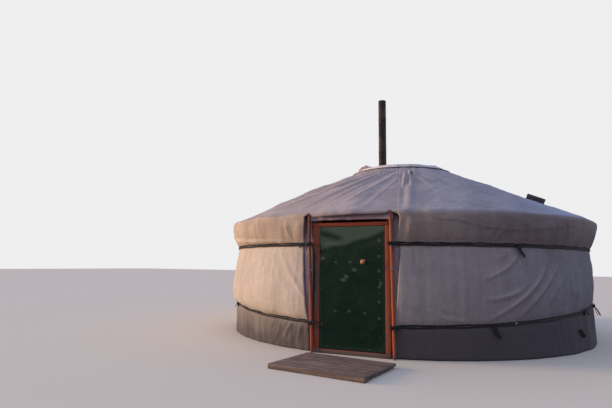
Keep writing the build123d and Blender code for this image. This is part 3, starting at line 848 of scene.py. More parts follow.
def dress(piece: Piece, finish: Finish, slot: str, *nodes: str, body: Body = Body.YURT) -> Piece:
    """Give a piece its finish and body, and hide the CAD nodes that it stands for.

    Args:
        piece: The piece.
        finish: Its finish.
        slot: Not used.
        nodes: The CAD nodes that it replaces.
        body: The body that it rides on.

    Returns:
        The same piece.
    """
    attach(coat(piece, finish), body.value)
    if nodes:
        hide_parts(*nodes)
    return piece


def link_new(name: str, mesh: bpy.types.Mesh) -> Piece:
    """A new piece with a mesh.

    Args:
        name: The piece's name.
        mesh: Its mesh.

    Returns:
        The piece.
    """
    piece = bpy.data.objects.new(name, mesh)
    bpy.context.scene.collection.objects.link(piece)
    return piece


def mesh_piece(name: str, points: Array, faces: Sequence[Sequence[int]], uv: Array) -> Piece:
    """A piece from points and faces.

    Args:
        name: The piece's name.
        points: The points in metres.
        faces: The corners of each face.
        uv: The texture place of each point in metres.

    Returns:
        The piece.
    """
    mesh = bpy.data.meshes.new(name)
    mesh.from_pydata([tuple(p) for p in points.tolist()], [], faces)
    layer = mesh.uv_layers.new(name="UVMap")
    corners = np.zeros(len(mesh.loops), int)
    mesh.loops.foreach_get("vertex_index", corners)
    layer.data.foreach_set("uv", uv[corners].ravel())
    return link_new(name, mesh)


@dataclass
class Cloth:
    """A sheet of cloth as rows and columns of points, seen from outside with the rows going down."""

    points: Array
    flat: Array
    # marks and painted light for each point, as each finish reads it: on the canvas, grime and painted shade
    # above 0 and painted highlight below 0
    dirt: Array
    keep: Array | None = None

    def build(self, name: str, thickness: float) -> Piece:
        """Make the sheet's piece, smooth and with its thickness inwards.

        Args:
            name: The piece's name.
            thickness: The cloth's thickness in metres.

        Returns:
            The piece.
        """
        rows, columns = self.points.shape[:2]
        index = np.arange(rows * columns).reshape(rows, columns)
        quads = np.stack((index[:-1, :-1], index[1:, :-1], index[1:, 1:], index[:-1, 1:]), 2)
        chosen = quads.reshape(-1, 4) if self.keep is None else quads[self.keep]
        used, places = np.unique(chosen, return_inverse=True)
        points, flat = self.points.reshape(-1, 3)[used], self.flat.reshape(-1, 2)[used]
        piece = mesh_piece(name, points, places.reshape(-1, 4).tolist(), flat)
        layer = piece.data.attributes.new("dirt", "FLOAT", "POINT")
        layer.data.foreach_set("value", self.dirt.reshape(-1)[used].astype(np.float32))
        piece.data.polygons.foreach_set("use_smooth", [True] * len(piece.data.polygons))
        return modify(piece, "SOLIDIFY", thickness=thickness, offset=-1.0, use_even_offset=False)


# Shapes of wood, metal and cord


def primitive(add: Callable[..., object], scale: Triple = (1.0, 1.0, 1.0), **settings: object) -> Piece:
    """Add a primitive and move its place, turn and scale into its mesh.

    Args:
        add: The operator.
        scale: How the primitive is scaled.
        settings: The operator's settings.

    Returns:
        The piece.
    """
    deselect()
    add(**settings)
    piece = bpy.context.object
    piece.scale = scale
    bpy.ops.object.transform_apply(location=True, rotation=True, scale=True)
    return piece


def join(name: str, pieces: Sequence[Piece]) -> Piece:
    """Join pieces into one.

    Args:
        name: The joined piece's name.
        pieces: The pieces.

    Returns:
        The joined piece.
    """
    pick(*pieces)
    bpy.ops.object.join()
    joined = bpy.context.view_layer.objects.active
    joined.name = joined.data.name = name
    return joined


def bare_copy(node: str, name: str) -> Piece:
    """A copy of a CAD node with its doubles merged, free of the frame's own marks.

    Args:
        node: The CAD node.
        name: The copy's name.

    Returns:
        The copy.
    """
    piece = link_new(name, bpy.data.objects[node].data.copy())
    with editing(piece):
        bpy.ops.mesh.remove_doubles(threshold=0.00002)
        bpy.ops.mesh.tris_convert_to_quads(face_threshold=0.02, shape_threshold=0.02)
    return piece


def uneven(piece: Piece, depth: float, lump: float) -> Piece:
    """Cut a piece's long faces into short ones and move them a little in and out.

    Args:
        piece: The piece.
        depth: How far the surface moves in metres.
        lump: The size of the unevenness in metres.

    Returns:
        The same piece.
    """
    most_cuts = 40
    places = np.empty(3 * len(piece.data.vertices))
    piece.data.vertices.foreach_get("co", places)
    lows, highs = places.reshape(-1, 3).min(0), places.reshape(-1, 3).max(0)
    with editing(piece):
        for axis, (low, high) in enumerate(zip(lows, highs)):
            way = np.eye(3)[axis]
            cuts = min(most_cuts, int((high - low) / (2.0 * lump)))
            for cut in range(1, cuts):
                bpy.ops.mesh.select_all(action="SELECT")
                place = way * (low + (high - low) * cut / cuts)
                bpy.ops.mesh.bisect(plane_co=tuple(place), plane_no=tuple(way))
    texture = bpy.data.textures.new(piece.name + "_lumps", "CLOUDS")
    texture.noise_scale = lump
    return modify(
        piece, "DISPLACE", texture=texture, strength=2.0 * depth, mid_level=0.5, texture_coords="GLOBAL"
    )


def worn_copy(node: str, name: str, edge: float, rough: float = 0.0, lump: float = 0.05) -> Piece:
    """A copy of a CAD node with rounded edges and, where asked, an uneven surface.

    Args:
        node: The CAD node.
        name: The copy's name.
        edge: The rounding of its edges in metres.
        rough: How far the surface is moved in and out, in metres.
        lump: The size of the unevenness in metres.

    Returns:
        The copy.
    """
    piece = bevelled(bare_copy(node, name), edge, 35.0)
    if rough:
        uneven(piece, rough, lump)
    return shade_smooth(piece, 35.0)


def ringed(name: str, rings: Array) -> Piece:
    """A closed piece through rings of points, shaded smooth.

    Args:
        name: The piece's name.
        rings: The rings, each with the same number of points.

    Returns:
        The piece, with its length along U and its girth along V in metres.
    """
    count, sides = rings.shape[:2]
    start = [range(i * sides, (i + 1) * sides) for i in range(count)]
    faces = [
        (one[j], one[(j + 1) % sides], two[(j + 1) % sides], two[j])
        for one, two in zip(start, start[1:]) for j in range(sides)
    ]
    faces += [tuple(start[0])[::-1], tuple(start[-1])]
    girth = np.linspace(0.0, 0.08, sides)
    flat = np.stack(np.broadcast_arrays(run_length(rings[:, 0])[:, None], girth[None, :]), -1)
    piece = mesh_piece(name, rings.reshape(-1, 3), faces, flat.reshape(-1, 2))
    with editing(piece):
        bpy.ops.mesh.normals_make_consistent(inside=False)
    return shade_smooth(piece, 50.0)


def tube(name: str, line: Array, radius: float, sides: int = 8, flat: float = 1.0) -> Piece:
    """A round or flattened cord along a line of points.

    Args:
        name: The piece's name.
        line: The points of its middle line.
        radius: Its radius in metres.
        sides: How many sides it has.
        flat: Its height over its width.

    Returns:
        The piece.
    """
    ways = unit(np.gradient(line, axis=0))
    aside = unit(np.cross(ways, np.broadcast_to((0.02, 0.01, 1.0), ways.shape)))
    up = np.cross(aside, ways)[:, None]
    turns = np.linspace(0.0, FULL_TURN, sides, endpoint=False)[None, :, None]
    return ringed(name, line[:, None] + radius * (np.cos(turns) * aside[:, None] + flat * np.sin(turns) * up))


# Canvas of the roof and the wall


def low_strap(bearing: Array) -> Array:
    """Height of the lower strap, which climbs from the door towards both sides."""
    return 0.347 + 0.230 * np.minimum(1.0, 1.0 - np.cos(np.radians(bearing)))


@dataclass(frozen=True)
class RoofCloth:
    """Part of the roof's canvas, from the crown over the eave to its hem under the upper strap.

    Distances down the cloth start at the crown: the eave is at about 2.33 m and the strap at 2.70 m.
    """

    name: str
    nodes: tuple[str, ...]
    first: float
    last: float
    seed: int
    folds: tuple[FoldRow, ...] = ()
    step: float = 0.021
    over: float = 0.001
    doorway: bool = False
    ruffle: float = 1.0
    free_edge: bool = False
    seam: tuple[Pair, ...] = ()
    tear: Pair | None = None
    profile: tuple[Pair, ...] = (
        (0.752, 2.606), (1.70, 2.181), (2.62, 1.770), (2.76, 1.708), (2.825, 1.682), (2.862, 1.652),
        (2.868, 1.60), (2.846, 1.49), (2.805, 1.375), (2.772, 1.315), (2.764, 1.262),
    )
    eave: float = 2.33
    eave_radius: float = 2.868
    strap_place: float = 2.70
    place_plus_height: float = 3.972
    thickness: float = 0.003
    door_edges: Pair = (-12.4, 11.4)
    door_posts: Pair = (-10.88, 9.72)
    door_hem: float = 2.357
    door_slant: tuple[Pair, Pair] = ((-12.4, 1.56), (-13.7, 1.29))
    free_slant: tuple[Pair, Pair] = ((11.7, 1.52), (11.1, 1.29))
    notch: float = 0.055
    skirt_radius: float = 2.82

    def offset(self, bearing: Array, down: Array, radius_at: RadiusAt, folded: Array) -> Array:
        """How far the cloth stands off its even shape.

        Args:
            bearing: The points' bearings in degrees.
            down: Their distances down the cloth in metres.
            radius_at: The profile's radius at a distance down.
            folded: How far the named folds lift them.

        Returns:
            The offset outwards in metres.
        """
        across = np.radians(bearing) * radius_at(down)
        skirt = smooth_step(down, 2.34, 2.46)
        gathered = pleats(np.radians(bearing) * 0.8, self.seed + 1, 0.085, 1.6)
        lift = 0.006 * gathered * bump_at(down, 0.10, 0.42)
        sag = 0.008 * (1 - skirt) * smooth_step(down, 0.1, 0.7)
        for height, seed, lengths, lean, spread in (
            (0.0022 * (1 - skirt), 2, (0.10, 0.5), 8.0, 22.0), (sag, 3, (0.45, 1.5), 0.0, 16.0),
            (0.0014 * (1 - skirt), 7, (0.06, 0.22), 70.0, 25.0), (0.0075 * skirt, 4, (0.14, 0.9), 6.0, 9.0),
            (0.0020 * skirt, 8, (0.05, 0.16), -4.0, 10.0),
            (0.006 * bump_at(down, self.eave, 0.09), 6, (0.12, 0.5), 0.0, 6.0),
        ):
            lift += height * ripples(across, down, self.seed + seed, lengths, lean, spread)
        above = np.clip(self.strap_place - down, 0.0, 1.0)
        pinch = pleats(across, self.seed + 5, 0.075, 1.4) - 0.35
        lift += 0.012 * self.ruffle * pinch * bump_at(above, 0.035, 0.055)
        lift += folded + 0.005 * self.seam_at(bearing, down)
        tied = bump_at(down, self.strap_place, 0.024)
        return np.maximum(lift * (1 - tied) * away_from_seams(bearing) + self.over, -0.004)

    def seam_at(self, bearing: Array, down: Array) -> Array:
        """How near each point is to the line where the skirt is sewn on.

        Args:
            bearing: The points' bearings in degrees.
            down: Their distances down the cloth in metres.

        Returns:
            1 along the line and 0 away from it.
        """
        if not self.seam:
            return np.zeros(bearing.shape)
        bearings, heights = np.array(self.seam).T
        # on the upright skirt, the distance down the cloth and the height add up to the same everywhere
        line = self.place_plus_height - np.interp(bearing, bearings, heights)
        return bump_at(down, line, 0.011) * (bearing > bearings[0]) * (bearing < bearings[-1])

    def soil(self, bearing: Array, down: Array, lift: Array, folded: Array) -> Array:
        """How dark or pale each point is: painted shade in the valleys and in the pulled opening, grime at the
        eave's fold and over the hem, and painted highlight on the folds.

        Args:
            bearing: The points' bearings in degrees.
            down: Their distances down the cloth in metres.
            lift: How far they stand off the even shape.
            folded: How far the named folds lift them.

        Returns:
            The grime and painted shade, below 0 where the cloth is paler: painted highlight on the folds, and
            along the free edge.
        """
        # painted shade in the valleys between the folds
        valley = np.clip(-(lift - np.median(lift)) / 0.012, 0.0, 1.0)
        patchy = 0.5 + 0.5 * ripples(np.radians(bearing) * 2.8, down, self.seed + 9, (0.2, 1.0), 0.0, 60.0)
        line = bump_at(down, self.eave, 0.035) * np.clip(patchy, 0.0, 1.0)
        tone_marks = 0.22 * valley + 0.30 * line + 0.22 * smooth_step(down, 2.64, 2.74)
        tone_marks += 0.10 * patchy * smooth_step(down, 2.3, 2.5) + 0.45 * self.seam_at(bearing, down)
        if self.tear is not None:
            # painted shade in the pulled opening near the crown
            place, deep = self.tear
            tone_marks += 1.6 * bump_at(bearing, place - 5.0 * (down - deep), 0.65) * bump_at(down, deep, 0.16) ** 2
        if self.free_edge:
            tone_marks -= 0.55 * bump_at(bearing, 13.0, 0.9) * smooth_step(down, 2.36, 2.42)
        # painted highlight on the crests of the named folds
        return np.clip(tone_marks, -0.3, 0.95) - 0.30 * np.clip(folded / 0.014 - 0.7, 0.0, 1.0)

    def build(self, finish: Finish) -> Piece:
        """Args:
            finish: The canvas.

        Returns:
            The piece.
        """
        points, normals = curve_through(self.profile, self.step)
        down = run_length(points)
        radius_at = partial(np.interp, xp=down, fp=points[:, 0])
        height_at = partial(np.interp, xp=down, fp=points[:, 1])
        wide = math.radians(self.last - self.first)
        count = int(round(wide * self.eave_radius / self.step)) + 1
        bearings, downs = np.meshgrid(np.linspace(self.first, self.last, count), down)
        places, turn, keep = downs, bearings, None
        on_skirt = smooth_step(downs, self.eave, 2.40)
        area = float(((points[1:, 0] + points[:-1, 0]) / 2 * np.diff(down)).sum()) * wide
        left, right = self.door_edges
        if self.doorway:
            notch = sum(bump_at(bearings, post, 0.85) for post in self.door_posts)
            hem = 0.008 * np.sin(np.radians(bearings) * 9.0 + 0.6) + self.notch * notch
            inside = (bearings > left) & (bearings < right + 0.3)
            places = downs - hem * smooth_step(downs, self.door_hem - 0.30, self.door_hem) * inside
            pull = drawn_to(bearings, height_at(places), left, *self.door_slant)
            turn = bearings + pull * on_skirt * (bearings <= left + 0.3)
            gone = (bearings >= left) & (downs > self.door_hem)
            keep = ~(gone[1:, 1:] & gone[1:, :-1])
            area -= math.radians(self.last - left) * self.skirt_radius * (down[-1] - self.door_hem)
        if self.free_edge:
            turn = bearings + on_skirt * drawn_to(bearings, height_at(places), self.first, *self.free_slant)
        folded = creased(self.folds, turn, places, radius_at)
        lift = self.offset(turn, places, radius_at, folded)
        radius, height = (value + np.interp(places, down, normals[:, k]) * lift
                          for k, value in enumerate((radius_at(places), height_at(places))))
        flat = np.stack((np.radians(bearings) * radius_at(places), -places), -1)
        cloth = Cloth(at(radius, height, turn), flat, self.soil(turn, places, lift, folded), keep)
        piece = dress(cloth.build(self.name, self.thickness), finish, "roof_canvas", *self.nodes)
        size = (wide * self.eave_radius, float(down[-1]))
        area = min(area, size[0] * size[1])
        return piece


@dataclass(frozen=True)
class WallCloth:
    """Part of the wall's canvas, tied in by both straps and pleated below the lower one."""

    name: str
    nodes: tuple[str, ...]
    first: float
    last: float
    seed: int
    folds: tuple[FoldRow, ...] = ()
    step: float = 0.021
    pleat: float = 0.012
    pleat_space: float = 0.085
    left_slant: tuple[Pair, Pair] | None = None
    right_slant: tuple[Pair, Pair] | None = None
    radius: float = 2.7575
    top: float = 1.40
    foot: float = 0.004
    upper_strap: float = 1.29
    # bearings, and at them the depth of the belly and the power that moves its fullest place down
    belly: tuple[tuple[float, ...], ...] = (
        (-180.0, -112.0, -60.0, -15.0, 15.0, 60.0, 90.0, 115.0, 180.0),
        (0.056, 0.056, 0.088, 0.054, 0.048, 0.036, 0.032, 0.056, 0.056),
        (0.8, 0.8, 0.44, 0.60, 0.8, 0.8, 0.8, 0.8, 0.8),
    )
    flare: float = 0.014
    thickness: float = 0.003
    foot_dirt: float = 0.45
    noise: float = 1.0

    def shape(self, height: Array, bearing: Array) -> Array:
        """Radius of the even cloth, which bellies out between the straps and flares at the foot.

        Args:
            height: The points' heights in metres.
            bearing: Their bearings in degrees.

        Returns:
            The radius in metres.
        """
        low = low_strap(bearing) + 0.02
        share = np.clip((height - low) / (self.upper_strap - 0.02 - low), 0.0, 1.0)
        turn = (bearing + 180.0) % 360.0 - 180.0
        places, depths, powers = self.belly
        rounded = np.maximum(np.sin(np.pi * share ** np.interp(turn, places, powers)), 0.0) ** 0.85
        foot = self.flare * np.clip(1.0 - height / (low - 0.04), 0.0, 1.0)
        return self.radius + np.interp(turn, places, depths) * rounded + foot

    def offset(self, bearing: Array, height: Array, folded: Array) -> Array:
        """How far the cloth stands off its even shape.

        Args:
            bearing: The points' bearings in degrees.
            height: Their heights in metres.
            folded: How far the named folds lift them.

        Returns:
            The offset outwards in metres.
        """
        across = np.radians(bearing) * self.radius
        over = height - low_strap(bearing)
        between = smooth_step(over, 0.02, 0.16) * (1 - smooth_step(height, 1.17, 1.275))
        below = smooth_step(-over, 0.01, 0.08)
        pinch = pleats(across, self.seed + 3, 0.07, 1.4) - 0.3
        lift = 0.008 * pinch * bump_at(over, 0.045, 0.045) * (over > 0)
        lift += 0.005 * pinch * bump_at(height, 1.23, 0.045)
        for depth, seed, lengths, lean, spread in (
            (0.0065 * self.noise * between, 0, (0.12, 0.7), 4.0, 13.0),
            (0.0030 * self.noise * between, 1, (0.05, 0.15), 0.0, 10.0),
            (0.0022 * between, 2, (0.10, 0.3), 75.0, 20.0), (0.004 * below, 5, (0.2, 0.8), 0.0, 20.0),
        ):
            lift += depth * ripples(across, height, self.seed + seed, lengths, lean, spread)
        gathered = pleats(across + 0.10 * height, self.seed + 4, self.pleat_space, 1.8)
        lift += below * (self.pleat * (gathered + 0.25) + 0.004)
        tied = np.clip(bump_at(over, 0.0, 0.020) + bump_at(height, self.upper_strap, 0.03), 0, 1)
        return np.maximum((lift * away_from_seams(bearing) + folded) * (1 - tied), -0.0015)

    def soil(self, bearing: Array, height: Array, lift: Array, folded: Array) -> Array:
        """How dark or pale each point is: grime splashed at the foot, painted shade in the hollows, in the
        grooves and next to the door, and painted highlight on the creases.

        Args:
            bearing: The points' bearings in degrees.
            height: Their heights in metres.
            lift: How far they stand off the even shape.
            folded: How far the named folds lift them.

        Returns:
            The grime and painted shade, below 0 where a painted highlight makes the cloth pale.
        """
        across, low = np.radians(bearing) * self.radius, low_strap(bearing)
        patchy = np.clip(0.5 + 0.45 * ripples(across, height, self.seed + 9, (0.15, 0.9), 10.0, 60.0), 0, 1)
        tone_marks = np.exp(-height / 0.20) * (0.35 + 0.35 * patchy)
        tone_marks += 0.16 * bump_at(height, low + 0.03, 0.05) * patchy
        behind = smooth_step(np.abs(bearing), 85.0, 120.0)
        tone_marks += (self.foot_dirt + (0.45 - self.foot_dirt) * behind) * smooth_step(low - height, -0.01, 0.03)
        # painted shade on the left wall next to the door
        tone_marks += 0.13 * smooth_step(bearing, -19.0, -14.0) * (bearing < 0)
        # painted shade in the hollows
        tone_marks += 0.12 * np.clip(-lift / 0.008, 0.0, 1.0)
        crest = folded / 0.02
        # painted highlight on the crests of the folds, and painted shade in their grooves
        painted_fold_light = 0.9 * np.clip(crest - 0.15, 0.0, 1.0) * (height > 0.4) - 0.5 * np.clip(-crest - 0.05, 0.0, 1.0)
        return np.clip(tone_marks - painted_fold_light, -0.9, 0.93)

    def build(self, finish: Finish) -> Piece:
        """Args:
            finish: The canvas.

        Returns:
            The piece.
        """
        wide = math.radians(self.last - self.first)
        rows, count = int(round(self.top / self.step)) + 1, int(round(wide * self.radius / self.step)) + 1
        down = np.linspace(self.top, self.foot, rows)
        bearings, heights = np.meshgrid(np.linspace(self.first, self.last, count), down)
        turn = bearings
        for slant, edge in ((self.left_slant, self.first), (self.right_slant, self.last)):
            if slant is not None:
                turn = bearings + drawn_to(bearings, heights, edge, *slant)
        folded = creased(self.folds, turn, heights, lambda place: self.radius + 0.0 * place)
        lift = self.offset(turn, heights, folded)
        ragged = 0.004 * ripples(np.radians(turn) * self.radius, 0 * turn, self.seed + 11, (0.1, 0.6), 0.0, 1.0)
        placed = heights + np.maximum(ragged, 0) * (heights < 0.03)
        flat = np.stack((np.radians(bearings) * self.radius, heights), -1)
        shown = at(self.shape(heights, turn) + lift, placed, turn)
        cloth = Cloth(shown, flat, self.soil(turn, heights, lift, folded))
        piece = dress(cloth.build(self.name, self.thickness), finish, "wall_canvas", *self.nodes)
        return piece


@dataclass(frozen=True)
class Covers:
    """The canvas of the roof and the wall, with its folds as rows of bearings, places, rise and width."""

    # Painted light, partly real fading: warm and light towards the sunlit left, duller and bluer painted shade
    # towards the right, with far as a further painted shade round the back; the roof's skirt is painted a warmer
    # tan where the low sun strikes it.
    roof: CanvasFinish = CanvasFinish(
        "roof_canvas_cloth", (0.52, 0.45, 0.42), (0.36, 0.37, 0.425), (0.14, 0.12, 0.12), stain=0.28, streak=0.10,
        turn_to=1.9, skirt=(0.80, 0.68, 0.55), skirt_painted_shade=(0.38, 0.33, 0.315), far=(0.45, 0.51, 0.68),
    )
    wall: CanvasFinish = CanvasFinish(
        "wall_canvas_cloth", (0.80, 0.73, 0.62), (0.40, 0.37, 0.375), (0.085, 0.075, 0.08),
        stain=0.14, streak=0.15, turn_to=1.8, far=(0.30, 0.29, 0.31),
    )
    roof_folds: tuple[FoldRow, ...] = (
        # long folds that fan out from the crown's left side
        ((3.0, 0.14), (-12.5, 1.0), (-17.6, 2.20), 0.026, 0.042),
        ((-4.0, 0.12), (-20.0, 0.9), (-30.0, 2.0), 0.026, 0.038),
        ((7.0, 0.18), (-5.0, 0.9), (-11.2, 2.05), 0.022, 0.036),
        ((9.5, 0.40), (2.0, 1.1), (-4.0, 1.95), 0.016, 0.040),
        ((11.0, 0.70), (6.0, 1.4), (3.0, 2.10), 0.012, 0.045),
        ((-12.0, 0.12), (-30.0, 0.9), (-42.0, 2.1), 0.026, 0.040),
        ((-22.0, 0.12), (-40.0, 0.8), (-54.0, 1.9), 0.022, 0.040),
        ((-30.0, 0.15), (-44.0, 1.1), (-58.0, 2.2), 0.015, 0.050),
        ((-52.0, 0.15), (-60.0, 1.0), (-72.0, 2.0), 0.013, 0.050),
        ((-70.0, 0.20), (-84.0, 1.1), (-92.0, 2.2), 0.014, 0.050),
        # the left skirt
        ((-17.0, 2.660), (-26.0, 2.645), (-38.0, 2.605), 0.022, 0.018),
        ((-28.0, 2.662), (-38.0, 2.635), (-50.0, 2.560), 0.026, 0.020),
        ((-40.0, 2.664), (-47.0, 2.625), (-57.0, 2.510), 0.028, 0.022),
        ((-50.0, 2.660), (-54.0, 2.600), (-62.0, 2.460), 0.024, 0.024),
        ((-18.0, 2.36), (-18.6, 2.48), (-17.6, 2.62), 0.012, 0.028),
        ((-30.0, 2.36), (-30.5, 2.48), (-29.0, 2.60), 0.010, 0.030),
        # the pulled place near the crown, and soft folds of the right side and its skirt
        ((22.3, 0.24), (22.1, 0.42), (20.9, 0.66), 0.030, 0.020),
        ((19.4, 0.28), (18.4, 0.46), (17.2, 0.66), 0.028, 0.018),
        ((15.6, 0.46), (13.8, 0.85), (12.6, 1.35), 0.032, 0.026),
        ((17.8, 0.60), (17.2, 0.90), (16.4, 1.25), 0.024, 0.022),
        ((16.2, 0.85), (15.0, 1.6), (13.8, 2.28), 0.024, 0.060),
        ((24.5, 0.34), (28.0, 0.60), (32.0, 1.00), 0.013, 0.035),
        ((23.5, 0.62), (23.0, 0.90), (25.0, 1.30), 0.010, 0.032),
        ((30.0, 0.20), (38.0, 0.9), (40.0, 1.9), 0.010, 0.060),
        ((52.0, 0.20), (58.0, 1.0), (60.0, 2.0), 0.011, 0.060),
        ((74.0, 0.20), (80.0, 1.0), (84.0, 2.1), 0.012, 0.055),
        ((33.0, 2.40), (34.5, 2.50), (32.0, 2.64), 0.012, 0.030),
        ((37.5, 2.42), (36.0, 2.52), (33.5, 2.66), 0.011, 0.024),
        ((22.0, 2.38), (22.8, 2.52), (22.3, 2.66), 0.010, 0.034),
        ((62.0, 2.40), (63.5, 2.52), (60.0, 2.66), 0.012, 0.040),
        ((14.2, 2.36), (14.0, 2.50), (13.7, 2.66), 0.012, 0.026),
    )
    left_wall_folds: tuple[FoldRow, ...] = (
        ((-21.5, 1.153), (-16.4, 0.86), (-11.8, 0.563), 0.013, 0.026),
        ((-26.0, 1.22), (-23.0, 0.95), (-17.0, 0.60), 0.006, 0.045),
        ((-20.1, 0.122), (-18.7, 0.23), (-17.4, 0.325), 0.026, 0.022),
        ((-23.6, 0.05), (-22.0, 0.19), (-21.4, 0.33), 0.020, 0.024),
        ((-15.3, 0.06), (-15.0, 0.20), (-14.1, 0.31), 0.018, 0.024),
        ((-46.0, 0.72), (-50.0, 0.66), (-56.0, 0.66), 0.010, 0.030),
    )
    right_wall_folds: tuple[FoldRow, ...] = (
        ((49.3, 1.08), (44.8, 0.72), (31.5, 0.43), 0.026, 0.021),
        ((54.0, 1.10), (48.0, 0.76), (38.9, 0.43), 0.020, 0.021),
        ((41.5, 1.235), (38.2, 1.00), (30.5, 0.885), 0.020, 0.020),
        ((42.6, 0.83), (38.5, 0.70), (31.5, 0.668), 0.019, 0.024),
        ((39.5, 1.25), (36.0, 1.12), (33.0, 1.10), 0.008, 0.020),
        ((58.0, 1.05), (53.0, 0.78), (46.0, 0.50), 0.009, 0.026),
        ((12.2, 1.22), (12.6, 0.8), (12.0, 0.42), 0.010, 0.026),
        ((20.5, 1.22), (20.8, 0.9), (20.3, 0.5), 0.005, 0.040),
        ((29.1, 1.18), (29.5, 0.9), (28.6, 0.5), 0.008, 0.036),
        ((17.0, 0.56), (22.0, 0.44), (30.0, 0.405), 0.007, 0.024),
    )
    skirt_seam: tuple[Pair, ...] = (
        (19.3, 1.572), (24.3, 1.557), (31.5, 1.478), (40.3, 1.450), (42.4, 1.452), (42.8, 1.500), (43.2, 1.462),
        (50.5, 1.498), (59.6, 1.552),
    )
    left: Pair = (-125.05, -13.0)
    right: Pair = (11.4, 123.35)
    back: Pair = (122.6, 235.9)

    def build(self) -> list[Piece]:
        """Build all the canvas.

        Returns:
            The pieces.
        """
        roofs = (
            RoofCloth("roof_cloth_left", ("roof_canvas_left", "roof_canvas_front"), self.left[0], 12.6, 40,
                      self.roof_folds, over=-0.001, doorway=True, ruffle=0.6),
            RoofCloth("roof_cloth_right", ("roof_canvas_right",), *self.right, 40, self.roof_folds, over=0.003,
                      free_edge=True, ruffle=0.5, tear=(20.4, 0.42), seam=self.skirt_seam),
            RoofCloth("roof_cloth_back", ("roof_canvas_back",), *self.back, 80, step=0.030, over=-0.0035),
        )
        walls = (
            WallCloth("wall_cloth_left", ("wall_canvas_left",), *self.left, 120, self.left_wall_folds,
                      right_slant=((-13.7, 1.23), (-12.0, 0.41)), pleat=0.013, foot_dirt=0.60, noise=0.5,
                      flare=0.0),
            WallCloth("wall_cloth_right", ("wall_canvas_right",), *self.right, 140, self.right_wall_folds,
                      left_slant=((11.95, 1.27), (10.53, 0.35)), pleat=0.005, pleat_space=0.19, foot_dirt=0.92,
                      noise=0.7, flare=0.022),
            WallCloth("wall_cloth_back", ("wall_canvas_back",), *self.back, 160, step=0.030, radius=2.755,
                      flare=0.008),
        )
        return [cloth.build(self.roof) for cloth in roofs] + [cloth.build(self.wall) for cloth in walls]


# Straps


